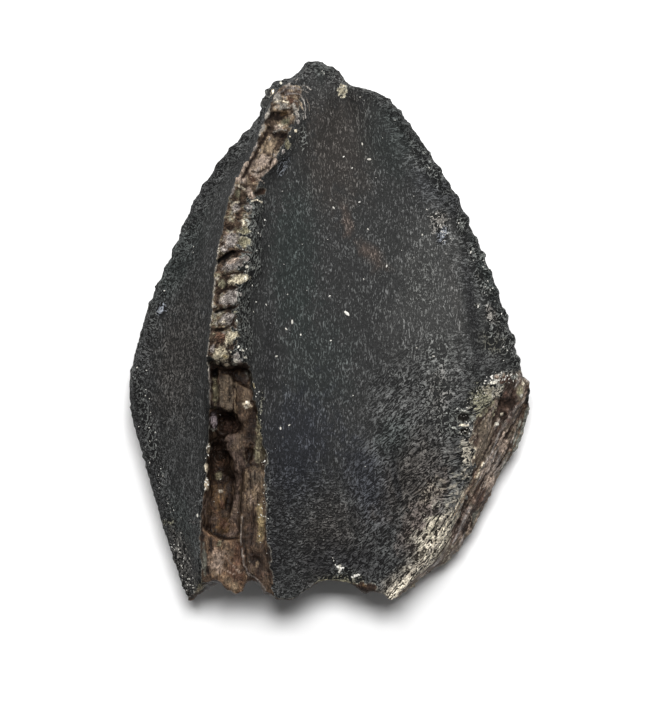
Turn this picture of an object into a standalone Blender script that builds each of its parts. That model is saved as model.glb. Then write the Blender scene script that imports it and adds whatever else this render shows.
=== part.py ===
"""A fossil tooth crown of a horned dinosaur, lying on its back with the enamelled face up.

+Z is up. +Y runs from the broken base to the tip. The tall keel stands left of the middle, at -X.
The origin is at the middle of the footprint, on the surface that the tooth lies on.
Sizes and places are in millimetres throughout, and new_object turns them into metres.
"""

import math

import bmesh
import bpy
from mathutils import Matrix, Vector, noise

MM = 0.001

# The loft's two ends, and its stations' spacing up to each place. The base break trims the first few.
BASE_Y = -20.6
TIP_Y = 19.05
STATION_STEPS = ((-2.0, 1.1), (15.6, 0.75), (TIP_Y, 0.34))
# Below this width, near the tip, all details of the section shrink with it.
FULL_WIDTH = 8.0

# The enamelled face, from the left margin over the keel to the right margin.
MARGIN_BLUNT = 1.3
MARGIN_ROUND = 0.35
LEFT_FACE_SAG = 0.45
LEFT_STEP = 0.5
KEEL_UNDERCUT = 0.2
CREST_TILT = 0.3
KEEL_FLANK = 1.7
FLANK_HOLLOW = 0.28
RIGHT_FACE_SAG = 0.75
RIM_WIDTH = 2.4
RIM_STEP = 0.15
RIM_SWELL = 0.22
# The flank and the rim take at most these shares of the right face, where it is narrow.
FLANK_SHARE = 0.4
RIM_SHARE = 0.35

# The back: how full its curve is, and how far its lowest line lies left of its middle.
BACK_FULLNESS = 2.2
BACK_SHIFT = 0.6

# Height of the unevenness of each kind of surface, and the width of its bumps.
ENAMEL_WAVE = 0.07
KEEL_WAVE = 0.2
FRACTURE_WAVE = 0.35
BACK_WAVE = 0.32
BROAD_BUMP = 2.6
KEEL_BUMP = 1.3
FINE_BUMP = 1.1
SPLINTER_BUMP = 0.8

# The worn denticles of each margin: station, and half width along it. Each is turned so that its
# upper end stands out farther, which leaves a notch above it.
RIGHT_DENTICLES = (
    (-2.0, 0.6), (-0.5, 0.7), (1.1, 0.95), (2.85, 0.75), (4.15, 0.62), (5.4, 0.62), (6.5, 0.5),
    (7.9, 0.85), (9.3, 0.62), (10.45, 0.42), (11.4, 0.5), (12.5, 0.5), (13.2, 0.3), (13.85, 0.38),
    (14.6, 0.42), (15.5, 0.45), (16.35, 0.35),
)
LEFT_DENTICLES = (
    (1.9, 0.5), (3.2, 0.75), (4.5, 0.55), (5.85, 0.75), (7.3, 0.62), (9.0, 0.65), (10.2, 0.6),
    (11.7, 0.7), (12.85, 0.42), (13.85, 0.4), (14.7, 0.45),
)
DENTICLE_LENGTH = 1.7
DENTICLE_DEPTH = 1.5
DENTICLE_PROUD = 0.19
DENTICLE_TURN = 0.16
DENTICLE_LEAN = 0.35
DENTICLE_VARIETY = 0.3

# The rounded tip and the two lumps on its left shoulder: middle and radii of each.
TIP_KNOBS = (
    ((-0.75, 17.45, 4.7), (2.0, 1.45, 1.15)),
    ((-3.55, 16.95, 5.0), (0.85, 0.8, 0.75)),
    ((-4.0, 15.75, 5.3), (0.75, 0.85, 0.7)),
)

# Cracks across the worn keel, between its knuckles: station, depth, half width, and the shares of
# the crest's width, from the left, that each runs between. They slant up to the right.
KEEL_CRACKS = (
    (9.0, 0.9, 0.4, 0.5, 1.0),
    (4.9, 0.8, 0.4, 0.0, 0.5),
    (3.3, 0.45, 0.3, 0.3, 1.0),
    (2.55, 0.4, 0.25, 0.0, 0.7),
    (1.3, 0.5, 0.3, 0.0, 0.8),
    (0.0, 0.4, 0.3, 0.0, 0.8),
)
CRACK_MARGIN = 0.1
KEEL_SLANT = 0.4
KEEL_SLANT_FADE = (6.0, 13.0)

# The broken keel, from its upper end down to the base. Each slab left in the break is: lowest and
# highest station, the shares across the break that it lies between, and its height.
BREAK_TOP_Y = -2.1
BREAK_TOP_STEP = 0.45
BREAK_TOP_SLANT = 0.5
BREAK_FLOOR = 7.2
BREAK_BESIDE_KEEL = 0.45
BREAK_SLABS = (
    (-5.6, -1.9, 0.18, 0.66, 9.7),
    (-10.6, -7.1, 0.46, 0.8, 8.3),
    (-14.1, -9.9, 0.0, 0.6, 6.9),
    (-20.6, -14.3, 0.04, 0.62, 8.2),
)
SLAB_EDGE = 0.2
SLAB_SIDE = 0.06
# Deeper hollows between the slabs: station, share across, radius along the keel and depth.
BREAK_HOLLOWS = ((-6.5, 0.42, 0.9, 1.5), (-8.7, 0.32, 1.3, 1.9))
HOLLOW_SHARE = 0.22
# The shelf of dentine along the break's right side, below the face, and the stub on its left.
RIGHT_SHELF = (0.56, 0.72)
RIGHT_SHELF_DROP = 1.17
RIGHT_SHELF_RISE = 0.7
LEFT_STUB = (0.12, 0.2)
SPLINTER_WAVE = 0.18

# The broken base: its jagged line on the enamelled side and on the back, as (x, y) corners, and the
# heights between which the one turns into the other.
BASE_FRONT = (
    (-14.0, -21.5), (-10.0, -18.95), (-8.9, -17.2), (-7.9, -17.35), (-6.6, -18.3), (-5.55, -17.3),
    (-4.4, -18.5), (-2.85, -19.0), (-1.95, -18.45), (-1.1, -17.65), (1.3, -17.55), (2.3, -17.9),
    (3.3, -18.05), (4.55, -18.8), (9.0, -23.0),
)
BASE_BACK = (
    (-14.0, -21.5), (-10.0, -18.9), (-7.9, -17.5), (-6.0, -17.0), (-4.0, -17.6), (-2.8, -18.6),
    (-0.8, -17.4), (1.2, -17.5), (2.4, -18.4), (3.4, -18.1), (4.5, -18.7), (9.0, -23.0),
)
BASE_TURN = (5.5, 8.5)
BASE_WAVE = 0.12
PULP_MIDDLE = (-1.9, 4.6)
PULP_HALF_SIZE = (3.9, 1.75)
PULP_DEPTH = 4.2
PULP_BLUNT = 2.2

# Cutters reach this far past the solid, whose unbroken form stays below TALLEST.
CLEAR = 3.0
TALLEST = 13.0


def curve_through(*stations):
    """A smooth function through (place, value) pairs that never overshoots between them."""
    places, values = zip(*stations)
    slopes = [
        (values[i + 1] - values[i]) / (places[i + 1] - places[i])
        for i in range(len(places) - 1)
    ]
    tangents = [slopes[0]]
    for before, after in zip(slopes, slopes[1:]):
        same_way = before * after > 0
        tangents.append(2 * before * after / (before + after) if same_way else 0.0)
    tangents.append(slopes[-1])

    def value_at(place):
        place = min(max(place, places[0]), places[-1])
        i = max(k for k in range(len(slopes)) if places[k] <= place)
        run = places[i + 1] - places[i]
        t = (place - places[i]) / run
        return (
            values[i] * (1 + 2 * t) * (1 - t) ** 2
            + tangents[i] * run * t * (1 - t) ** 2
            + values[i + 1] * t * t * (3 - 2 * t)
            + tangents[i + 1] * run * t * t * (t - 1)
        )

    return value_at


# Plan, as x at each y: the two margins, and how far the enamel stops short of the right one.
left_edge = curve_through(
    (-20.6, -9.5), (-16.1, -11.1), (-9.0, -13.2), (-4.4, -14.2), (0.8, -13.2), (5.5, -11.25),
    (9.6, -9.4), (12.2, -7.6), (15.0, -5.2), (16.8, -4.5), (17.7, -3.6), (18.2, -2.3), (19.05, -1.75),
)
right_edge = curve_through(
    (-20.6, 2.8), (-18.8, 4.6), (-17.7, 5.9), (-15.6, 8.9), (-13.4, 10.3), (-9.5, 12.2),
    (-6.4, 13.8), (-4.4, 14.2), (-3.2, 13.6), (-0.4, 12.8), (4.1, 11.3), (8.7, 9.2), (13.4, 6.4),
    (15.4, 5.0), (16.6, 3.8), (17.15, 2.5), (17.45, 1.2), (18.2, 0.3), (18.65, -0.1), (19.05, -0.65),
)
enamel_inset = curve_through(
    (-20.6, 0.2), (-18.8, 0.4), (-17.4, 1.0), (-16.1, 1.7), (-13.2, 2.4), (-9.5, 2.9), (-6.9, 3.6),
    (-4.6, 3.4), (-3.2, 1.2), (-1.5, 0.7), (19.05, 0.5),
)
# The keel's crest: its left edge, and its width.
keel_line = curve_through(
    (-20.6, -9.15), (-13.2, -9.0), (-7.6, -8.8), (-1.8, -8.55), (2.1, -8.2), (5.4, -7.9),
    (7.1, -7.55), (9.9, -6.9), (12.1, -5.65), (13.8, -5.0), (15.9, -4.2), (17.1, -3.6), (18.0, -2.1),
    (19.05, -1.55),
)
keel_width = curve_through(
    (-20.6, 3.4), (-1.8, 2.4), (2.0, 1.9), (4.5, 2.5), (8.0, 2.1), (11.0, 1.8), (15.0, 2.3),
    (16.8, 1.9), (18.0, 0.9), (19.05, 0.35),
)
break_right = curve_through(
    (-23.6, -3.0), (-18.6, -3.9), (-13.0, -4.45), (-9.7, -4.5), (-6.0, -5.0), (-4.0, -5.4), (0.5, -5.9)
)

# Elevation, as z at each y: heights above the surface that the tooth lies on.
face_height = curve_through(
    (-20.6, 8.4), (-14.0, 9.0), (-6.0, 9.5), (1.0, 9.3), (7.0, 8.4), (12.0, 7.3), (16.0, 6.3),
    (19.05, 5.2),
)
left_height = curve_through(
    (-20.6, 4.4), (-12.0, 4.9), (-4.0, 5.0), (12.0, 5.2), (16.0, 5.1), (19.05, 4.8)
)
right_height = curve_through(
    (-20.6, 7.4), (-10.0, 7.9), (-4.0, 7.8), (2.0, 7.6), (8.0, 7.1), (13.0, 6.5), (16.5, 5.9),
    (19.05, 4.9),
)
right_lip = curve_through(
    (-20.6, 3.4), (-12.0, 3.3), (-6.0, 3.9), (-3.0, 5.6), (2.0, 6.3), (10.0, 6.0), (16.0, 5.2),
    (19.05, 4.7),
)
back_height = curve_through(
    (-20.6, 1.4), (-17.0, 0.3), (-14.5, -0.3), (4.0, -0.3), (8.0, 0.5), (13.0, 1.6), (17.0, 2.7),
    (19.05, 3.6),
)
# Above the face: the whole keel's crest, its worn hollow, and the stub of its broken left wall.
keel_rise = curve_through(
    (-20.6, 2.6), (-8.0, 3.1), (0.0, 3.2), (5.0, 2.9), (9.0, 2.4), (12.5, 1.9), (15.5, 1.2),
    (17.3, 0.6), (19.05, 0.1),
)
crest_wear = curve_through(
    (-20.6, 0.1), (5.0, 0.1), (7.5, 0.25), (10.5, 0.4), (15.0, 0.55), (16.6, 0.3), (17.4, 0.0),
    (19.05, 0.0),
)
keel_stub = curve_through(
    (-23.6, -0.6), (-12.0, -0.5), (-6.2, -0.2), (-4.6, 0.9), (-2.0, 1.9), (0.5, 2.4)
)


def smooth_step(low, high, value):
    """0 below low, 1 above high, and a smooth rise between them."""
    t = min(max((value - low) / (high - low), 0.0), 1.0)
    return t * t * (3 - 2 * t)


def wave(x, y, z, size):
    """Smooth unevenness between -1 and 1, with bumps about size across."""
    return noise.noise(Vector((x, y, z)) / size)


def new_object(name, bm, collection):
    """Writes a bmesh held in millimetres to a new object in metres."""
    bmesh.ops.scale(bm, vec=(MM, MM, MM), verts=bm.verts)
    bmesh.ops.recalc_face_normals(bm, faces=bm.faces)
    mesh = bpy.data.meshes.new(name)
    bm.to_mesh(mesh)
    bm.free()
    obj = bpy.data.objects.new(name, mesh)
    collection.objects.link(obj)
    return obj


def small_end(y):
    """1 along the body of the tooth, falling towards 0 at the tip."""
    return min(1.0, (right_edge(y) - left_edge(y)) / FULL_WIDTH)


def crack_depth(share, y):
    """How far the cracks lower the keel's crest at y, share of the way across it."""
    depths = [0.0]
    for place, depth, half_width, start, end in KEEL_CRACKS:
        if start - CRACK_MARGIN <= share <= end + CRACK_MARGIN:
            depths.append(depth * max(0.0, 1 - abs(y - place) / half_width))
    return max(depths)


def slant(x, y):
    """How far the keel's top is pushed up the tooth at x, so that its cracks run aslant."""
    width = keel_width(y)
    past_left = x - keel_line(y)
    tent = min(past_left, width - (past_left - width) * width / KEEL_FLANK)
    fade = 1 - smooth_step(*KEEL_SLANT_FADE, y)
    return KEEL_SLANT * max(0.0, tent) * fade


def span(start, end, count, sag=0.0):
    """Points from start up to, and not including, end, bowed down by sag at the middle."""
    points = []
    for i in range(count):
        t = i / count
        x = start[0] + (end[0] - start[0]) * t
        z = start[1] + (end[1] - start[1]) * t - 4 * sag * t * (1 - t)
        points.append((x, z))
    return points


def back_span(right, left, low, count):
    """The rounded back, from the right margin's underside to the left one's."""
    lowest_x = 0.5 * (right[0] + left[0]) - BACK_SHIFT
    points = []
    for i in range(count):
        x = right[0] + (left[0] - right[0]) * i / count
        side_x, side_z = right if x > lowest_x else left
        reach = (x - lowest_x) / (side_x - lowest_x)
        points.append((x, low + (side_z - low) * reach**BACK_FULLNESS))
    return points


def section(y):
    """One closed section of the unbroken crown, as lists of (x, z) for each kind of surface."""
    small = small_end(y)
    face = face_height(y)
    rise = keel_rise(y)
    left, left_z = left_edge(y), left_height(y)
    right, lip_z, rim_z = right_edge(y), right_lip(y), right_height(y)

    crest_left = (keel_line(y), face + rise)
    crest_right = (keel_line(y) + keel_width(y), face + rise - CREST_TILT)
    foot_left = (crest_left[0] - KEEL_UNDERCUT * small, face - LEFT_STEP)
    enamel_end = (right - enamel_inset(y) * small, rim_z)
    face_width = enamel_end[0] - crest_right[0]
    foot_right = (crest_right[0] + min(KEEL_FLANK, FLANK_SHARE * face_width), face)
    rim = (enamel_end[0] - min(RIM_WIDTH, RIM_SHARE * face_width), rim_z - RIM_STEP)

    rounding = MARGIN_ROUND * small
    left_side = (left, left_z - 0.5 * MARGIN_BLUNT)
    left_under = (left + rounding, left_z - MARGIN_BLUNT)
    right_side = (right, lip_z - 0.3 * MARGIN_BLUNT)
    right_under = (right - rounding, lip_z - MARGIN_BLUNT)

    left_face = [left_side]
    left_face += span((left + rounding, left_z), foot_left, 6, LEFT_FACE_SAG * small)
    left_face += span(foot_left, crest_left, 2)
    keel = span(crest_left, crest_right, 4, crest_wear(y) * small)
    keel += span(crest_right, foot_right, 3, FLANK_HOLLOW * rise)
    keel = [(x, z - crack_depth(i / 4, y)) for i, (x, z) in enumerate(keel)]
    right_face = span(foot_right, rim, 8, RIGHT_FACE_SAG * small)
    right_face += span(rim, enamel_end, 3, -RIM_SWELL * small)
    fracture = span(enamel_end, right_side, 4)
    back = [right_side] + back_span(right_under, left_under, back_height(y), 12) + [left_under]
    return {
        "left_face": left_face,
        "keel": keel,
        "right_face": right_face,
        "fracture": fracture,
        "back": back,
    }


def uneven(kind, x, y, z):
    """A point of the section moved by the unevenness of its kind of surface."""
    small = small_end(y)
    if kind == "keel":
        sideways = 0.5 * KEEL_WAVE * small * wave(x, y, z + 20, KEEL_BUMP)
        upwards = KEEL_WAVE * small * wave(x, y, z, KEEL_BUMP)
        return Vector((x + sideways, y + slant(x, y), z + upwards))
    broken = enamel_inset(y) > 1.0
    height = {"fracture": FRACTURE_WAVE * broken, "back": BACK_WAVE}.get(kind, ENAMEL_WAVE) * small
    upwards = height * (wave(x, y, z, BROAD_BUMP) + 0.5 * wave(x, y, z + 40, FINE_BUMP))
    # Nothing reaches below the surface that the tooth lies on, so the back is flat where it rests.
    return Vector((x, y, max(z + upwards, 0.0)))


def stations():
    """The loft's stations: evenly spaced in each zone, with three more at each crack."""
    cracks = [place + side * width for place, _, width, *_ in KEEL_CRACKS for side in (-1, 0, 1)]
    y, even = BASE_Y, []
    for zone_end, step in STATION_STEPS:
        while y < zone_end - 0.5 * step:
            even.append(y)
            y += step
    clear = [y for y in even if min(abs(y - crack) for crack in cracks) > 0.25]
    return sorted(clear + cracks + [TIP_Y])


def crown(collection):
    """The crown before anything broke: a loft through its sections, with a blunt tip."""
    bm = bmesh.new()
    rings = []
    for y in stations():
        points = [uneven(kind, x, y, z) for kind, part in section(y).items() for x, z in part]
        rings.append([bm.verts.new(point) for point in points])
    for near, far in zip(rings, rings[1:]):
        for i in range(len(near)):
            j = (i + 1) % len(near)
            bm.faces.new((near[i], near[j], far[j], far[i]))
    bm.faces.new(rings[0])
    bm.faces.new(rings[-1])
    return new_object("tooth", bm, collection)


def denticle_row(bm, edge, height, row, side):
    """Low bumps along one margin, each a bead that runs up onto the face."""
    for y, half_width in row:
        slope = (edge(y + 0.2) - edge(y - 0.2)) / 0.4
        along = Vector((slope + side * DENTICLE_TURN, 1.0, 0.0)).normalized()
        inward = Vector((-side * along.y, side * along.x, 0.0))
        up_the_face = (inward + Vector((0.0, 0.0, DENTICLE_LEAN))).normalized()
        size = 1.0 + DENTICLE_VARIETY * wave(0.0, y * 3.0, side * 9.0, 1.0)
        half_length = 0.5 * DENTICLE_LENGTH * size
        middle = Vector((edge(y), y, height(y) - 0.42 * DENTICLE_DEPTH))
        bead = (
            Matrix.Translation(middle + inward * (half_length - DENTICLE_PROUD))
            @ Matrix((up_the_face, along, up_the_face.cross(along))).transposed().to_4x4()
            @ Matrix.Diagonal((half_length, half_width / along.y, 0.5 * DENTICLE_DEPTH, 1.0))
        )
        bmesh.ops.create_uvsphere(bm, u_segments=8, v_segments=4, radius=1.0, matrix=bead)


def bumps(collection):
    """Everything that stands proud of the loft: both rows of denticles and the knobbed tip."""
    bm = bmesh.new()
    denticle_row(bm, right_edge, right_height, RIGHT_DENTICLES, 1)
    denticle_row(bm, left_edge, left_height, LEFT_DENTICLES, -1)
    for middle, radii in TIP_KNOBS:
        knob = Matrix.Translation(middle) @ Matrix.Diagonal((*radii, 1.0))
        bmesh.ops.create_icosphere(bm, subdivisions=2, radius=1.0, matrix=knob)
    return new_object("bumps", bm, collection)


def rough_block(name, columns, rows, place, roof, collection):
    """A closed block with one rough side: a grid bent by place(u, v), then drawn out to roof."""
    bm = bmesh.new()
    bmesh.ops.create_grid(bm, x_segments=columns, y_segments=rows, size=0.5)
    grid = bm.faces[:]
    for vert in bm.verts:
        vert.co = place(vert.co.x + 0.5, vert.co.y + 0.5)
    drawn = bmesh.ops.extrude_face_region(bm, geom=grid, use_keep_orig=True)
    for vert in (part for part in drawn["geom"] if isinstance(part, bmesh.types.BMVert)):
        vert.co = roof(vert.co)
    return new_object(name, bm, collection)


def break_height(share, y):
    """Height of the broken surface, share of the way across the break from left to right."""
    face = face_height(y)
    floor = BREAK_FLOOR
    for low, high, start, end, height in BREAK_SLABS:
        along = smooth_step(low - SLAB_EDGE, low + SLAB_EDGE, y)
        along *= 1 - smooth_step(high - SLAB_EDGE, high + SLAB_EDGE, y)
        across = smooth_step(start - SLAB_SIDE, start + SLAB_SIDE, share)
        across *= 1 - smooth_step(end - SLAB_SIDE, end + SLAB_SIDE, share)
        floor += (height - floor) * along * across
    for middle_y, middle_share, radius, depth in BREAK_HOLLOWS:
        away = math.hypot((y - middle_y) / radius, (share - middle_share) / HOLLOW_SHARE)
        floor -= depth * max(0.0, 1 - away * away)
    shelf = face - RIGHT_SHELF_DROP + RIGHT_SHELF_RISE * share
    floor += (shelf - floor) * smooth_step(*RIGHT_SHELF, share)
    floor += (face + keel_stub(y) - floor) * (1 - smooth_step(*LEFT_STUB, share))
    return floor + SPLINTER_WAVE * wave(share * 6, y, 3.0, SPLINTER_BUMP)


def keel_break(collection):
    """Takes the keel off below BREAK_TOP_Y, down to splintered slabs and hollows."""
    start_y, end_y = BASE_Y - CLEAR, BREAK_TOP_Y + 2.6
    over_keel = TALLEST - BREAK_FLOOR

    def place(u, v):
        y = start_y + (end_y - start_y) * v
        left = keel_line(y) - BREAK_BESIDE_KEEL
        x = left + (break_right(y) - left) * u
        edge_y = BREAK_TOP_Y - BREAK_TOP_SLANT * (u - 0.3)
        above_break = smooth_step(edge_y, edge_y + BREAK_TOP_STEP, y)
        return Vector((x, y, break_height(u, y) + over_keel * above_break))

    def roof(point):
        return Vector((point.x, point.y, TALLEST + 2 * CLEAR))

    return rough_block("keel_break", 13, 38, place, roof, collection)


def along_line(corners, x):
    """The y of a jagged line at x."""
    for (x0, y0), (x1, y1) in zip(corners, corners[1:]):
        if x <= x1:
            return y0 + (y1 - y0) * (x - x0) / (x1 - x0)
    return corners[-1][1]


def base_break(collection):
    """Takes the root off along a jagged line, and leaves the open end of the pulp hollow."""
    start_x, end_x = BASE_FRONT[0][0], BASE_FRONT[-1][0]

    def place(u, v):
        x = start_x + (end_x - start_x) * u
        z = -CLEAR + (TALLEST + 2 * CLEAR) * v
        to_front = smooth_step(*BASE_TURN, z)
        y = along_line(BASE_BACK, x) * (1 - to_front) + along_line(BASE_FRONT, x) * to_front
        away = math.hypot(
            (x - PULP_MIDDLE[0]) / PULP_HALF_SIZE[0], (z - PULP_MIDDLE[1]) / PULP_HALF_SIZE[1]
        )
        pit = PULP_DEPTH * max(0.0, 1 - away**PULP_BLUNT)
        return Vector((x, y + pit + BASE_WAVE * wave(x, z, 5.0, FINE_BUMP), z))

    def roof(point):
        return Vector((point.x, BASE_Y - 2 * CLEAR, point.z))

    return rough_block("base_break", 38, 17, place, roof, collection)


def boolean(target, tool, operation):
    """Joins or cuts with a helper, which is shown as wires and never rendered."""
    tool.hide_render = True
    tool.display_type = "WIRE"
    modifier = target.modifiers.new(tool.name, "BOOLEAN")
    modifier.operation = operation
    modifier.solver = "EXACT"
    # Neighbouring denticles overlap each other.
    modifier.use_self = operation == "UNION"
    modifier.object = tool


def fossil_material():
    """Black fossil enamel, the colour of most of the surface."""
    material = bpy.data.materials.new("black_enamel")
    material.use_nodes = True
    shader = material.node_tree.nodes["Principled BSDF"]
    shader.inputs["Base Color"].default_value = (0.035, 0.035, 0.034, 1.0)
    shader.inputs["Roughness"].default_value = 0.55
    shader.inputs["Metallic"].default_value = 0.0
    return material


def main():
    for obj in list(bpy.data.objects):
        bpy.data.objects.remove(obj)
    shown = bpy.data.collections.new("fossil_tooth")
    helpers = bpy.data.collections.new("helpers")
    for collection in (shown, helpers):
        bpy.context.scene.collection.children.link(collection)
    tooth = crown(shown)
    boolean(tooth, bumps(helpers), "UNION")
    boolean(tooth, keel_break(helpers), "DIFFERENCE")
    boolean(tooth, base_break(helpers), "DIFFERENCE")
    tooth.data.materials.append(fossil_material())


main()
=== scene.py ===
"""The looks of a broken fossil tooth crown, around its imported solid.

The crown is cut as a fine clay blank from a copy of the solid, gets its knuckles and slabs of
dentine as clay pieces, and is then carved and painted. Lengths and places are in millimetres until
a finished piece is brought to metres. +Z is up, +Y runs from the broken base to the tip.
"""

import math
import random
from contextlib import contextmanager
from types import SimpleNamespace

import bpy
import numpy as np
from mathutils import Matrix, Vector, noise
from mathutils.bvhtree import BVHTree


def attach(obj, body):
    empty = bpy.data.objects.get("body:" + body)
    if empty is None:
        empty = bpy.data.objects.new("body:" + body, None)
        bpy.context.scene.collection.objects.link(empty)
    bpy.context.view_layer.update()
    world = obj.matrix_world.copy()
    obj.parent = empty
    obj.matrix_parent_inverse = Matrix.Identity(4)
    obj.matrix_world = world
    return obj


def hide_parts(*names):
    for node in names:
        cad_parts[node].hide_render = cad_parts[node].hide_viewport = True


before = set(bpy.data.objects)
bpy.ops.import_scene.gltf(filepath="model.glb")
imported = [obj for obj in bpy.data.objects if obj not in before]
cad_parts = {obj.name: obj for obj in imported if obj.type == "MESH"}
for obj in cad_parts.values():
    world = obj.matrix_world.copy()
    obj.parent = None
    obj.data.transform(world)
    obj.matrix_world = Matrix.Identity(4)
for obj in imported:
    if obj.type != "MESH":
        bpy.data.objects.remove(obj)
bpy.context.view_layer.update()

MM = 0.001
SEED = 7
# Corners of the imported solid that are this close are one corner.
MERGE_GAP = 0.002
# Side of the clay's faces. Those of the keel and the broken places are then halved, and this share
# of those of the back and of the plain face is kept.
CLAY_GRAIN = 0.2
BACK_KEPT = 0.18
FACE_KEPT = 0.6
SMOOTHING_ROUNDS = 24
SLAB_BEVEL = 0.07
# Slants in degrees: of the enamel's wrinkles and the crust's ridges from level, and of the broken
# side from upright.
WRINKLE_SLANT = 38.0
CRUST_SLANT = 24.0
SIDE_SLANT = 28.0

# Paint of worn, broken and crusted places, and of the enamel.
PAINTS = {
    "white": (0.72, 0.70, 0.62),
    "cream": (0.62, 0.56, 0.45),
    "straw": (0.35, 0.315, 0.235),
    "yellow": (0.34, 0.28, 0.16),
    "moss": (0.30, 0.285, 0.20),
    "olive": (0.155, 0.145, 0.10),
    "tan": (0.23, 0.178, 0.125),
    "pink": (0.30, 0.24, 0.20),
    "lilac": (0.22, 0.20, 0.19),
    "violet": (0.42, 0.38, 0.43),
    "rust": (0.095, 0.055, 0.038),
    "brown": (0.08, 0.056, 0.040),
    "bark": (0.115, 0.093, 0.071),
    "amber": (0.08, 0.05, 0.026),
    "honey": (0.18, 0.118, 0.078),
    "mauve": (0.112, 0.084, 0.072),
    "maroon": (0.056, 0.035, 0.028),
    "umber": (0.024, 0.015, 0.011),
    "black": (0.006, 0.005, 0.004),
    "slate": (0.13, 0.135, 0.12),
    "pearl": (0.33, 0.31, 0.28),
    "frost": (0.25, 0.26, 0.24),
    "ice": (0.30, 0.32, 0.36),
    "enamel": (0.029, 0.0295, 0.029),
    "grey_black": (0.058, 0.058, 0.056),
    "green_black": (0.022, 0.027, 0.0255),
    "blue_black": (0.019, 0.0205, 0.025),
    "deep_black": (0.015, 0.015, 0.0155),
    "brown_black": (0.035, 0.0315, 0.0285),
    "rust_black": (0.054, 0.043, 0.037),
}

# Blobs this much proud or more are clay of their own, and the others are carved.
KNUCKLE_RISE = 0.17
# A ray from this height meets the tooth's upper side, and where it misses, this height is taken.
ABOVE_ALL = 40.0
MARGIN_HEIGHT = 5.0
# What the camera frames, at the height of the tooth's margins, and where it stands, in millimetres.
VIEW_MIDDLE = (0.12, -1.33)
VIEW_TALL = 49.26
MARGIN_PLANE = 6.0
CAMERA_HEIGHT = 450.0
FILM_SIDE = 36.0
# The floor lies this far below the patch that the tooth rests on.
FLOOR_GAP = 0.02

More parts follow.
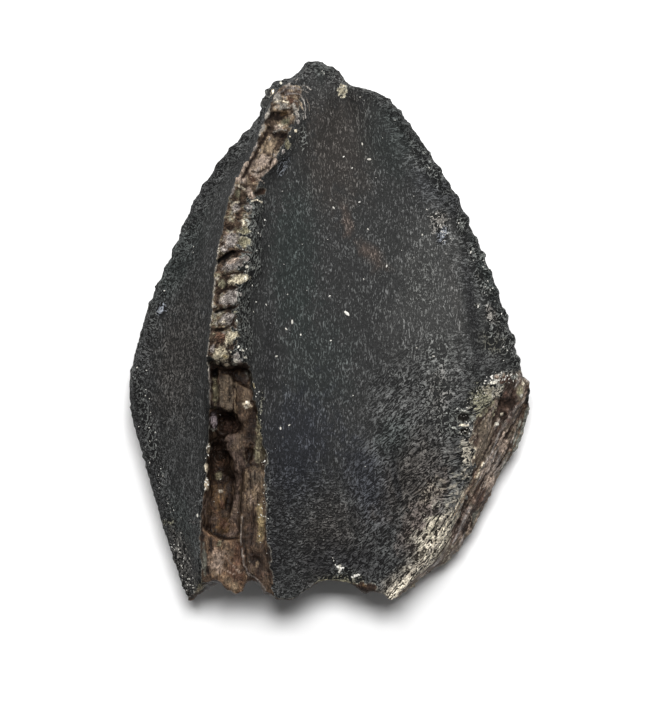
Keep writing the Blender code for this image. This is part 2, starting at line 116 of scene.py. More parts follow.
# Lumps and pits of the keel and of its broken end: place, half width, half length, turn of the
# length from +Y towards +X in degrees, rise, and paint. The black, umber and maroon of the pits,
# those of negative rise, is painted shade in them.
BLOBS = (
    # The upper keel.
    (-3.72, 16.35, 0.3, 0.45, 15, 0.14, "pearl"),
    (-3.3, 15.85, 0.36, 0.2, 0, 0.12, "pearl"),
    (-3.15, 16.85, 0.45, 0.16, 60, 0.06, "mauve"),
    (-2.45, 15.45, 0.17, 0.72, -20, 0.14, "pearl"),
    (-2.29, 14.79, 0.12, 0.34, -10, 0.08, "lilac"),
    (-2.8, 16.32, 0.26, 0.33, -20, 0.03, "rust"),
    (-3.6, 15.05, 0.66, 0.42, 0, -0.4, "umber"),
    (-3.25, 15.35, 0.3, 0.2, -30, -0.1, "amber"),
    (-3.2, 14.75, 0.35, 0.3, 0, -0.1, "olive"),
    (-4.16, 15.05, 0.23, 0.35, 20, -0.2, "umber"),
    (-3.74, 14.28, 0.54, 0.18, 8, 0.14, "pink"),
    (-3.55, 14.44, 0.16, 0.13, 0, 0.05, "cream"),
    (-3.74, 13.82, 0.48, 0.19, 10, -0.3, "umber"),
    (-3.3, 13.6, 0.36, 0.42, 0, -0.35, "umber"),
    (-3.05, 13.1, 0.25, 0.4, 0, -0.1, "olive"),
    (-4.02, 13.25, 0.3, 0.47, 20, 0.2, "tan"),
    (-4.27, 12.72, 0.38, 0.26, 20, 0.06, "tan"),
    (-4.7, 11.98, 0.54, 0.51, 35, 0.16, "pink"),
    (-4.02, 11.75, 0.2, 0.6, 42, 0.17, "pink"),
    (-4.79, 11.0, 0.21, 0.45, 58, 0.17, "pink"),
    (-4.46, 15.25, 0.17, 0.55, 22, 0.12, "pearl"),
    (-4.9, 14.05, 0.17, 0.6, 25, 0.12, "pearl"),
    (-5.31, 12.95, 0.16, 0.45, 18, 0.12, "lilac"),
    (-5.6, 12.2, 0.18, 0.4, 25, 0.12, "pink"),
    (-5.98, 11.5, 0.26, 0.52, 30, 0.2, "pink"),
    (-6.45, 10.74, 0.24, 0.42, 33, 0.12, "pink"),
    (-6.83, 9.88, 0.15, 0.46, 15, 0.1, "lilac"),
    (-2.47, 14.07, 0.11, 0.14, 0, 0.05, "cream"),
    (-2.86, 13.65, 0.11, 0.1, 30, 0.05, "cream"),
    (-3.3, 12.58, 0.12, 0.24, 10, 0.06, "lilac"),
    (-4.9, 9.75, 0.5, 0.28, -20, -0.35, "umber"),
    (-5.63, 9.63, 0.24, 0.55, -25, 0.2, "pink"),
    (-6.46, 9.68, 0.2, 0.3, 0, -0.15, "olive"),
    (-6.06, 10.67, 0.26, 0.23, 30, 0.05, "pink"),
    (-5.49, 10.67, 0.35, 0.19, 60, 0.04, "rust"),
    # Round the tip.
    (-4.62, 16.05, 0.32, 0.45, 15, 0.26, "enamel"),
    (-4.32, 16.85, 0.34, 0.32, 0, 0.26, "enamel"),
    (-3.52, 17.55, 0.12, 0.2, 10, 0.04, "white"),
    (-4.07, 16.89, 0.1, 0.18, 15, 0.04, "cream"),
    (-2.44, 17.79, 0.14, 0.09, 0, 0.04, "white"),
    (0.78, 16.94, 0.42, 0.5, -30, 0.03, "straw"),
    # The middle of the keel, lump by lump down to its broken end.
    (-6.56, 8.7, 0.34, 0.3, 10, 0.16, "lilac"),
    (-5.72, 8.65, 0.32, 0.25, -20, 0.14, "lilac"),
    (-6.7, 7.98, 0.12, 0.1, 0, 0.06, "cream"),
    (-6.12, 7.58, 0.24, 0.12, 80, 0.08, "cream"),
    (-7.02, 7.21, 0.34, 0.22, 0, -0.12, "umber"),
    (-6.02, 7.0, 0.45, 0.3, 0, 0.05, "olive"),
    (-6.93, 6.35, 0.5, 0.55, 10, 0.12, "lilac"),
    (-5.95, 6.25, 0.45, 0.4, 0, 0.08, "olive"),
    (-7.35, 5.75, 0.3, 0.26, 20, 0.06, "lilac"),
    (-6.65, 4.7, 0.45, 0.95, 66, 0.3, "lilac"),
    (-6.75, 4.95, 0.2, 0.5, 66, 0.1, "pink"),
    (-5.81, 4.49, 0.1, 0.09, 0, 0.06, "white"),
    (-5.39, 4.44, 0.14, 0.12, 0, 0.05, "frost"),
    (-6.4, 3.58, 0.34, 0.8, 74, 0.3, "straw"),
    (-5.93, 3.72, 0.1, 0.12, 0, 0.06, "white"),
    (-7.54, 3.27, 0.31, 0.34, 0, 0.22, "olive"),
    (-6.9, 2.36, 0.52, 0.85, 62, 0.28, "lilac"),
    (-6.42, 2.6, 0.1, 0.13, 0, 0.05, "frost"),
    (-7.2, 0.88, 0.38, 0.65, 62, 0.26, "lilac"),
    (-7.38, 0.72, 0.16, 0.16, 0, 0.06, "cream"),
    (-6.5, 0.75, 0.07, 0.1, 0, 0.04, "frost"),
    (-6.62, 1.39, 0.2, 0.13, 0, 0.06, "olive"),
    (-6.86, -0.42, 0.42, 0.6, 35, 0.28, "straw"),
    (-7.64, -0.37, 0.35, 0.4, 0, 0.05, "rust"),
    (-7.6, -1.55, 0.62, 0.56, -10, 0.34, "straw"),
    (-7.79, -2.15, 0.2, 0.14, 0, 0.1, "cream"),
    (-7.22, -2.3, 0.24, 0.14, 0, 0.1, "cream"),
    (-7.32, -1.7, 0.24, 0.16, 0, 0.08, "yellow"),
    (-8.2, -1.2, 0.16, 0.3, 0, 0.08, "lilac"),
    (-6.46, -1.75, 0.42, 0.46, 20, 0.24, "lilac"),
    (-6.37, -1.03, 0.13, 0.14, 0, 0.08, "white"),
    (-6.12, -1.27, 0.12, 0.1, 0, 0.06, "white"),
    (-5.9, -1.78, 0.12, 0.1, 0, 0.05, "white"),
    (-6.55, -2.02, 0.16, 0.2, 0, 0.08, "white"),
    (-6.67, -2.25, 0.2, 0.12, 0, 0.08, "frost"),
    # The trough below it.
    (-8.0, -2.9, 0.32, 0.36, 0, -0.9, "black"),
    (-6.02, -2.42, 0.42, 0.3, 0, -0.25, "umber"),
    (-7.25, -2.78, 0.7, 0.22, 0, -0.2, "umber"),
    (-8.05, -4.3, 0.26, 1.11, 0, -0.4, "olive"),
    (-8.16, -6.2, 0.27, 0.6, -8, 0.45, "violet"),
    (-7.07, -6.45, 0.7, 0.62, 0, -0.65, "maroon"),
    (-5.96, -6.64, 0.24, 0.56, 5, 0.3, "brown"),
    (-5.82, -4.95, 0.16, 0.14, -20, 0.1, "white"),
    (-5.62, -5.15, 0.14, 0.12, 30, 0.1, "cream"),
    (-5.9, -5.25, 0.12, 0.07, 20, 0.08, "white"),
    (-6.04, -5.03, 0.14, 0.11, 0, 0.06, "cream"),
    (-7.85, -8.15, 0.7, 0.94, 0, -0.9, "umber"),
    (-5.67, -8.51, 0.28, 0.84, 0, -0.4, "umber"),
    (-8.56, -8.11, 0.14, 0.35, 8, 0.15, "cream"),
    (-8.68, -9.45, 0.17, 0.36, 8, 0.2, "cream"),
    (-8.66, -10.64, 0.16, 0.42, 4, 0.2, "cream"),
    (-7.62, -9.94, 0.65, 0.8, 0, -0.4, "umber"),
    (-7.87, -10.04, 0.3, 0.26, -70, 0.08, "olive"),
    (-7.72, -11.2, 0.2, 0.16, -70, 0.12, "white"),
    (-7.71, -11.86, 0.47, 0.73, 10, 0.25, "amber"),
    (-7.6, -12.1, 0.22, 0.35, 10, 0.1, "rust"),
    (-7.19, -12.02, 0.28, 0.7, 0, -0.2, "umber"),
    (-8.45, -12.45, 0.36, 0.5, -20, 0.15, "brown"),
    (-7.52, -13.49, 0.58, 0.63, -40, 0.12, "amber"),
    (-7.55, -13.4, 0.3, 0.35, -40, 0.06, "rust"),
    (-8.24, -13.96, 0.21, 0.12, -60, 0.1, "amber"),
    (-8.82, -15.9, 0.17, 1.3, -2, 0.15, "slate"),
    (-8.38, -14.9, 0.2, 0.6, 0, -0.1, "umber"),
    (-7.78, -14.74, 0.26, 0.16, -60, 0.1, "moss"),
    (-7.9, -16.2, 0.42, 0.8, 12, 0.14, "pink"),
    (-6.62, -16.9, 0.5, 0.75, -35, 0.08, "rust"),
    (-6.72, -17.87, 0.4, 0.23, -70, 0.1, "tan"),
    (-6.45, -15.5, 0.3, 0.9, 0, -0.12, "rust"),
    (-5.26, -10.15, 0.5, 0.58, 0, 0.1, "bark"),
    (-5.44, -11.2, 0.3, 0.5, 20, 0.08, "tan"),
    (-5.3, -13.6, 0.26, 1.0, 0, -0.1, "brown"),
    (-5.6, -11.7, 0.1, 0.5, 6, 0.1, "pink"),
    (-5.14, -15.06, 0.4, 0.35, 0, 0.06, "brown"),
    (-5.3, -16.0, 0.51, 0.4, 0, -0.15, "umber"),
    (-5.13, -16.2, 0.28, 0.12, -80, 0.08, "tan"),
    (-5.6, -16.6, 0.1, 0.7, 12, 0.08, "mauve"),
    (-4.5, -17.64, 0.51, 0.7, -30, 0.04, "brown"),
    (-5.09, -17.7, 0.19, 0.3, -30, -0.3, "black"),
    (2.4, -17.9, 0.98, 0.5, 5, 0.06, "umber"),
    (0.62, -16.5, 0.26, 0.2, 0, 0.05, "white"),
    (2.3, -17.75, 0.22, 0.1, 0, 0.03, "amber"),
    # The broken right side.
    (12.15, -3.3, 1.0, 0.42, 0, 0.06, "maroon"),
    (11.6, -3.05, 0.35, 0.14, 10, 0.1, "pink"),
    (11.35, -3.55, 0.2, 0.15, 0, 0.08, "white"),
    (12.9, -3.15, 0.3, 0.16, -30, 0.08, "frost"),
    (13.3, -4.2, 0.25, 0.4, -12, 0.1, "olive"),
    (13.5, -3.6, 0.12, 0.12, 0, 0.08, "cream"),
    (13.95, -4.55, 0.3, 0.7, 0, 0.08, "black"),
    (13.42, -4.48, 0.14, 0.13, 0, 0.08, "white"),
    (12.5, -5.1, 0.4, 0.5, 0, -0.15, "umber"),
    (11.9, -4.95, 0.38, 0.4, 0, -0.25, "umber"),
    (12.1, -5.85, 0.35, 0.55, 0, -0.2, "umber"),
    (12.0, -5.75, 0.1, 0.12, 0, 0.06, "cream"),
    (11.65, -6.45, 0.15, 0.14, 0, 0.1, "white"),
    (10.75, -6.7, 0.4, 0.8, 20, 0.05, "bark"),
    (12.1, -7.7, 0.24, 0.26, 0, 0.1, "pink"),
    (12.05, -8.3, 0.26, 0.3, 0, 0.08, "pink"),
    (13.75, -6.3, 0.25, 0.9, 4, 0.1, "slate"),
    (13.1, -7.9, 0.22, 0.9, 24, 0.1, "slate"),
    (12.4, -9.4, 0.2, 0.8, 27, 0.08, "slate"),
    (11.3, -10.7, 0.2, 0.6, 20, 0.1, "pink"),
    (9.6, -13.7, 0.3, 0.6, 32, -0.12, "umber"),
    (9.35, -13.35, 0.08, 0.5, 26, 0.08, "lilac"),
    (9.25, -6.0, 0.7, 0.36, -6, -0.5, "black"),
    (9.3, -6.92, 0.5, 0.25, -4, -0.45, "black"),
    (9.3, -5.55, 0.35, 0.08, 6, 0.1, "frost"),
    (9.25, -6.52, 0.5, 0.1, 0, 0.14, "cream"),
    (8.65, -6.7, 0.18, 0.16, 0, 0.08, "frost"),
    (9.95, -6.0, 0.25, 0.2, 0, 0.08, "frost"),
)
# Cracks, ridges and thin lines there: corners, half width, rise and paint. The dark paint of the
# sunken cracks, those of negative rise, is painted shade in them.
STROKES = (
    (
        ((-4.35, 14.31), (-4.57, 13.69), (-5.1, 12.64), (-5.63, 11.72), (-5.92, 11.11),
         (-6.24, 10.54)),
        0.11, -0.22, "umber",
    ),
    (
        ((-3.96, 12.82), (-4.14, 11.98), (-4.27, 11.5), (-5.01, 11.11), (-5.49, 11.19)),
        0.07, -0.15, "umber",
    ),
    (((-5.49, 9.07), (-5.16, 9.19), (-4.83, 9.07)), 0.07, 0.08, "cream"),
    (((-6.64, 10.18), (-6.33, 10.12), (-6.02, 10.01)), 0.07, 0.08, "cream"),
    (((-3.08, 17.25), (-2.86, 17.55), (-2.42, 17.77)), 0.08, 0.05, "lilac"),
    (
        ((-3.7, 16.68), (-3.13, 17.07), (-2.51, 17.14), (-1.99, 16.98), (-1.59, 16.76)),
        0.05, 0.08, "lilac",
    ),
    (
        ((-3.21, 16.61), (-2.69, 16.79), (-2.16, 16.63), (-1.85, 16.19), (-1.76, 15.58),
         (-1.79, 15.01)),
        0.05, 0.08, "lilac",
    ),
    (((-2.95, 16.8), (-2.4, 16.9), (-1.85, 16.6), (-1.55, 16.1), (-1.45, 15.5)), 0.045, 0.08, "mauve"),
    (((-2.6, 16.2), (-2.1, 16.1), (-1.9, 15.6), (-1.95, 14.9)), 0.045, 0.08, "lilac"),
    (((-3.9, 15.75), (-3.5, 15.6), (-2.9, 15.7), (-2.6, 16.0)), 0.06, 0.08, "pearl"),
    (((-4.0, 14.0), (-3.55, 14.15), (-3.1, 14.1)), 0.06, 0.08, "pearl"),
    (((-2.86, 16.5), (-2.34, 16.35), (-2.07, 15.93), (-1.97, 15.54)), 0.06, 0.06, "tan"),
    (((-2.07, 17.33), (-1.64, 17.2), (-1.35, 16.96)), 0.05, 0.04, "lilac"),
    (((-3.92, 16.06), (-3.48, 16.18), (-2.95, 16.06)), 0.08, 0.06, "cream"),
    (((-5.49, 11.02), (-5.23, 10.8), (-4.88, 10.54), (-4.62, 10.4)), 0.06, 0.05, "pink"),
    (((-4.44, 13.69), (-4.66, 13.12), (-4.88, 12.51), (-5.23, 11.98)), 0.05, 0.06, "tan"),
    # A pale line along the keel's left edge: painted light catching the edge.
    (
        ((-7.57, 7.21), (-7.83, 5.6), (-7.98, 4.0), (-8.18, 1.99), (-8.33, 0.59), (-8.48, -1.01),
         (-8.58, -1.61), (-8.51, -2.72)),
        0.035, 0.04, "pearl",
    ),
    (((-6.87, 8.79), (-6.72, 9.01), (-6.4, 9.03)), 0.07, 0.08, "cream"),
    (((-7.22, 6.99), (-7.26, 6.41), (-7.32, 5.8)), 0.06, 0.06, "pink"),
    # Cracks between the lumps, whose black, umber and maroon is painted shade in them.
    (((-7.75, 4.9), (-7.32, 5.22), (-6.85, 5.5)), 0.19, -0.75, "black"),
    (((-6.92, 5.5), (-6.22, 5.58), (-5.5, 5.45)), 0.07, -0.25, "maroon"),
    (((-7.49, 3.85), (-6.84, 4.05), (-6.09, 4.17)), 0.09, -0.35, "umber"),
    (((-7.22, 3.62), (-7.16, 2.98)), 0.09, -0.35, "umber"),
    (((-7.78, 2.62), (-7.31, 2.98), (-6.37, 3.12)), 0.08, -0.3, "umber"),
    (((-7.96, 1.36), (-7.31, 1.5), (-6.75, 1.68)), 0.15, -0.5, "black"),
    (((-6.75, 1.68), (-6.35, 1.9)), 0.1, -0.2, "umber"),
    (((-8.1, 0.09), (-7.31, 0.19), (-6.93, 0.4), (-6.6, 0.95)), 0.12, -0.42, "umber"),
    (((-6.3, -0.3), (-6.45, 0.2), (-6.2, 0.9)), 0.1, -0.25, "black"),
    (((-7.37, -0.71), (-7.12, -1.11), (-6.92, -1.39)), 0.06, 0.1, "cream"),
    (((-7.15, -0.95), (-7.0, -1.6), (-6.95, -2.3)), 0.08, -0.3, "umber"),
    (((-7.68, -2.07), (-7.57, -2.42)), 0.07, -0.3, "umber"),
    # The trough.
    (((-8.44, -2.55), (-8.43, -3.95), (-8.4, -5.1)), 0.055, 0.25, "lilac"),
    (((-6.6, -3.49), (-6.68, -4.77), (-6.64, -6.06)), 0.07, 0.35, "tan"),
    (((-6.2, -7.17), (-6.11, -8.28), (-5.9, -9.22)), 0.06, 0.2, "bark"),
    (
        ((-9.18, -13.19), (-8.8, -13.6), (-8.36, -13.98), (-7.6, -14.36), (-7.0, -14.4),
         (-6.49, -14.36)),
        0.04, -0.22, "umber",
    ),
    (
        ((-6.2, -12.9), (-6.3, -14.36), (-6.2, -15.36), (-6.05, -16.3), (-5.7, -17.0)),
        0.055, 0.1, "lilac",
    ),
    (((-5.7, -16.9), (-5.1, -17.3), (-4.48, -18.1)), 0.07, 0.1, "lilac"),
    (((-6.05, -13.0), (-6.1, -14.5), (-5.95, -15.5), (-5.8, -16.4)), 0.07, -0.3, "umber"),
    (((-7.9, -5.47), (-7.88, -5.94), (-7.88, -6.88)), 0.05, 0.1, "brown"),
    (((-8.5, -6.64), (-8.24, -6.88), (-7.97, -6.8)), 0.06, 0.1, "frost"),
    (((-8.36, -12.26), (-7.78, -12.96), (-7.07, -13.49)), 0.05, 0.06, "rust"),
    (((-5.38, -3.6), (-5.32, -3.84)), 0.06, 0.05, "yellow"),
    (((-7.9, -15.2), (-7.4, -15.3), (-6.95, -15.65)), 0.045, 0.06, "pink"),
    (((-8.13, -15.5), (-7.3, -15.77), (-6.37, -16.8)), 0.045, 0.06, "pink"),
    (((-8.36, -16.2), (-7.54, -16.58), (-6.72, -16.93)), 0.04, 0.06, "pink"),
    (((-8.3, -16.7), (-7.6, -17.0), (-6.9, -17.6)), 0.04, 0.06, "tan"),
    (((-5.44, -11.91), (-5.38, -13.19), (-5.44, -14.36)), 0.06, -0.12, "umber"),
    (((-5.9, -9.57), (-5.88, -10.85), (-6.0, -11.67)), 0.05, 0.12, "tan"),
    (((-5.67, -9.68), (-5.58, -10.85), (-5.67, -11.79)), 0.06, -0.1, "umber"),
    (((-5.32, -9.68), (-5.18, -11.09), (-5.09, -11.91)), 0.06, -0.1, "umber"),
)

# Pale fibres and dark splits of the broken side: corners, half width, rise and paint. The splits'
# umber and brown is painted shade in them.
SIDE_STROKES = (
    (((11.9, -6.9), (11.5, -8.0), (11.1, -8.9)), 0.05, 0.06, "lilac"),
    (((10.7, -9.2), (10.4, -9.9), (10.2, -10.2)), 0.06, 0.08, "cream"),
    (((9.9, -10.5), (9.5, -11.2), (9.1, -11.9)), 0.05, 0.06, "pink"),
    (((12.9, -7.4), (12.4, -8.3), (11.8, -9.4), (11.5, -10.1)), 0.05, 0.06, "lilac"),
    (((12.2, -7.0), (11.3, -8.7), (10.5, -10.1)), 0.05, 0.05, "pink"),
    (((11.5, -6.9), (11.0, -8.2), (10.4, -9.3), (9.9, -10.2)), 0.07, -0.12, "umber"),
    (((12.9, -6.9), (12.5, -8.2), (11.9, -9.3), (11.3, -10.2)), 0.07, -0.12, "umber"),
    (((10.9, -10.0), (10.2, -11.2), (9.6, -12.2), (8.9, -13.4)), 0.08, -0.14, "umber"),
    (((9.3, -11.2), (8.7, -12.4), (8.2, -13.2), (7.9, -13.8)), 0.06, 0.08, "cream"),
    (((10.6, -9.2), (9.9, -10.6), (9.1, -12.0), (8.6, -12.9)), 0.05, 0.06, "tan"),
    (((9.9, -12.2), (9.3, -13.2), (9.0, -14.1), (8.5, -15.0)), 0.05, 0.06, "lilac"),
    (((9.7, -12.7), (9.95, -13.1), (9.7, -13.9)), 0.05, 0.1, "pink"),
    (((9.2, -13.0), (8.6, -14.2), (7.9, -15.2), (7.4, -15.8)), 0.07, -0.12, "umber"),
    (((13.6, -5.0), (13.5, -6.4), (13.0, -7.9), (12.4, -9.2)), 0.07, -0.1, "brown"),
    (((11.2, -5.4), (10.5, -6.2), (10.2, -7.3)), 0.07, -0.12, "umber"),
    (((12.9, -3.6), (12.7, -4.4), (12.9, -5.1)), 0.07, -0.15, "umber"),
)

# Grooves and ridges of the enamel, which keep its black: corners, half width and rise.
CREASES = (
    (((9.28, 5.4), (9.77, 2.25), (10.12, -0.56), (10.3, -1.9)), 0.2, -0.13),
    (((9.6, 8.1), (9.0, 7.2), (9.28, 5.4)), 0.2, -0.06),
    (((-1.3, 14.6), (-1.25, 12.0), (-1.9, 9.0)), 0.5, -0.05),
    (((2.2, 12.1), (3.4, 8.0), (4.2, 3.0)), 0.8, 0.05),
    (((5.5, -3.6), (7.6, -3.5), (8.4, -4.3)), 0.13, 0.06),
)

# Slabs of dentine: outline, heights at its upper and lower end, thickness and paint.
SLABS = (
    (
        "plate",
        ((-7.72, -3.08), (-7.69, -5.3), (-7.1, -5.61), (-6.77, -5.5), (-6.77, -3.25), (-7.17, -2.92)),
        (9.95, 9.6), 1.6, "bark",
    ),
    (
        "right_panel",
        ((-6.51, -3.49), (-5.67, -4.05), (-5.41, -4.89), (-5.53, -5.5), (-5.88, -6.32), (-6.51, -6.2)),
        (9.55, 9.2), 1.2, "brown",
    ),
    (
        "leaf",
        (
            (-7.66, -7.81), (-7.19, -7.11), (-6.25, -7.09), (-6.16, -8.28), (-5.93, -9.45),
            (-6.0, -10.34), (-6.25, -10.34), (-6.61, -9.27), (-7.05, -8.57),
        ),
        (8.8, 8.2), 0.9, "mauve",
    ),
    (
        "curved_wall",
        (
            (-6.66, -8.98), (-6.04, -10.41), (-5.9, -10.88), (-6.18, -12.49), (-6.47, -14.2),
            (-7.07, -14.32), (-7.82, -13.89), (-7.07, -12.96), (-6.72, -11.32),
        ),
        (8.0, 7.4), 0.9, "mauve",
    ),
    (
        "tab",
        (
            (-8.88, -13.75), (-8.75, -14.6), (-8.57, -15.77), (-8.38, -17.17), (-7.83, -17.43),
            (-7.19, -18.01), (-6.61, -18.36), (-6.11, -18.01), (-5.88, -17.05), (-6.0, -15.42),
            (-6.35, -14.43), (-7.5, -14.55), (-8.3, -14.2),
        ),
        (8.5, 8.3), 1.3, "honey",
    ),
    (
        "right_slab",
        (
            (-6.1, -9.68), (-4.68, -9.63), (-4.44, -12.26), (-4.5, -14.36), (-4.5, -16.47),
            (-4.03, -17.52), (-3.56, -18.57), (-4.5, -18.34), (-5.09, -17.17), (-5.86, -16.58),
            (-6.04, -15.3), (-6.38, -14.36), (-6.32, -12.84),
        ),
        (9.0, 8.4), 1.3, "brown",
    ),
)

# Sand grains on the face: place and half length.
GRAINS = (
    (2.2, 13.2, 0.09), (2.7, 12.1, 0.13), (0.9, 12.3, 0.07), (1.5, 11.5, 0.08), (0.2, 8.7, 0.08),
    (2.0, 9.1, 0.07), (2.6, 7.2, 0.07), (6.4, 6.8, 0.07), (3.9, 4.6, 0.09), (2.3, 3.7, 0.07),
    (6.9, 11.5, 0.08), (9.8, 5.6, 0.1), (-2.1, -0.2, 0.08), (-2.7, 0.7, 0.13), (-3.1, 0.2, 0.08),
    (-4.5, 1.9, 0.06), (-3.8, -1.7, 0.08), (-3.5, -6.7, 0.12), (-2.9, -6.5, 0.08), (-11.7, 2.9, 0.08),
    (-13.6, -2.5, 0.08), (1.1, 1.3, 0.17), (7.2, -1.7, 0.08), (6.0, -1.1, 0.07), (10.3, 1.8, 0.09),
    (0.52, -16.48, 0.17), (0.68, -16.6, 0.17), (0.62, -16.74, 0.13), (0.85, -16.5, 0.11),
    (0.32, -16.3, 0.07), (0.2, -16.0, 0.05), (0.13, -15.8, 0.05), (1.5, -17.16, 0.12),
    (1.66, -17.1, 0.15), (1.82, -17.04, 0.14), (1.95, -16.98, 0.09),
    (11.7, -6.5, 0.1), (-9.3, -12.8, 0.12), (0.0, -0.6, 0.07), (-0.1, 2.5, 0.07), (-4.6, -9.0, 0.09),
)
# Fine grains anywhere on the face: how many, between which y, how far from the left and the right
# edge, and their half lengths.
FINE_GRAINS = 70
FINE_SPAN = (-17.0, 17.0)
FINE_INSETS = (0.3, 0.8)
FINE_SIZES = (0.02, 0.045)
GRAIN_SHAPE = (1.0, 0.72, 0.5)
# No grain sits closer to an edge than this.
BARE_EDGE = 0.15

# Trails of crumbs along the rims and breaks: corners, how many, how far astray, and half length.
TRAILS = (
    (((-5.9, 6.8), (-5.3, 5.4), (-5.4, 3.6), (-5.8, 1.5), (-6.0, 0.0), (-5.9, -1.8)), 16, 0.45, 0.045),
    (((-5.9, 8.6), (-5.2, 7.6), (-5.0, 6.2)), 8, 0.4, 0.04),
    (((-5.35, -3.5), (-5.0, -6.0), (-4.75, -9.0), (-4.6, -12.0), (-4.5, -15.5)), 22, 0.15, 0.04),
    (((-4.85, -12.2), (-4.9, -13.5), (-4.8, -14.9)), 9, 0.2, 0.05),
    (((-8.5, -7.5), (-8.65, -9.5), (-8.65, -11.2)), 10, 0.1, 0.07),
    (((9.6, 7.6), (10.7, 4.4), (11.6, 1.2), (12.4, -1.8)), 30, 0.4, 0.05),
    (((-13.0, -2.0), (-13.0, -6.0), (-12.0, -10.5), (-11.2, -13.0)), 30, 0.3, 0.045),
    (((-11.0, -14.5), (-10.4, -16.5), (-9.9, -18.2)), 40, 0.35, 0.05),
    (((11.0, -3.5), (11.9, -3.2), (13.0, -3.3)), 50, 0.22, 0.065),
    (((9.8, -4.9), (10.4, -4.5), (11.0, -4.0)), 16, 0.3, 0.045),
    (((8.8, -5.6), (9.8, -6.5), (8.9, -7.3)), 30, 0.35, 0.05),
    (((-0.8, 18.6), (0.3, 17.6), (1.1, 17.1)), 8, 0.15, 0.04),
    (((7.2, 8.2), (8.0, 7.2), (8.0, 6.5)), 22, 0.3, 0.045),
    (((6.6, -17.0), (7.6, -15.8), (8.3, -14.3)), 16, 0.5, 0.04),
)

# Soft patches on bare stone: as the blobs, with a strength and a paint.
STAINS = (
    (12.3, -5.2, 0.8, 1.4, 5, 0.95, "maroon"),
    (11.6, -7.2, 0.5, 0.9, 15, 0.6, "maroon"),
    (13.45, -7.0, 0.35, 1.9, 20, 0.9, "slate"),
    (12.5, -9.3, 0.3, 1.2, 28, 0.7, "slate"),
    (10.7, -7.9, 0.6, 1.5, 10, 0.6, "bark"),
    (12.1, -7.9, 0.4, 0.6, 10, 0.8, "pink"),
    (11.2, -9.9, 0.6, 1.0, 25, 0.55, "pink"),
    (10.5, -11.7, 0.6, 0.8, 25, 0.9, "maroon"),
    (9.1, -13.6, 0.5, 1.7, 27, 0.9, "mauve"),
    (10.0, -13.2, 0.25, 0.9, 30, 0.7, "slate"),
    (-8.5, -12.3, 0.5, 1.2, -20, 0.9, "mauve"),
    (-7.75, -11.2, 0.65, 1.9, 0, 0.85, "amber"),
    (-7.6, -9.6, 0.5, 0.8, 0, 0.6, "rust"),
    (-6.55, -15.4, 0.4, 1.1, 0, 0.85, "rust"),
    (-8.0, -15.9, 0.6, 1.0, 10, 0.7, "pink"),
    (-7.0, -17.4, 0.5, 0.6, 0, 0.5, "tan"),
    (-5.2, -14.5, 0.6, 2.6, 0, 0.85, "maroon"),
    (-5.2, -10.6, 0.6, 1.3, 0, 0.6, "tan"),
    (-4.95, -13.4, 0.32, 1.7, 0, 0.75, "yellow"),
    (-5.0, -8.3, 0.4, 1.3, 0, 0.4, "olive"),
    (-5.4, -10.9, 0.35, 1.1, 10, 0.7, "pink"),
    (-6.6, -12.4, 0.3, 1.2, 10, 0.6, "mauve"),
    (-7.2, -13.6, 0.7, 0.5, -50, 0.5, "honey"),
    (-5.4, -4.6, 0.3, 1.0, 5, 0.5, "brown"),
    (-4.9, -17.3, 0.7, 0.9, -25, 0.8, "maroon"),
    (-5.0, -15.7, 0.7, 1.5, 0, 0.65, "umber"),
    (-6.2, -16.5, 0.35, 0.8, 10, 0.7, "umber"),
    (-8.2, -9.9, 0.3, 0.8, 0, 0.6, "umber"),
    (-3.4, 14.8, 0.8, 1.3, 0, 0.5, "tan"),
    (-5.2, 11.4, 0.7, 0.9, 30, 0.5, "pink"),
)
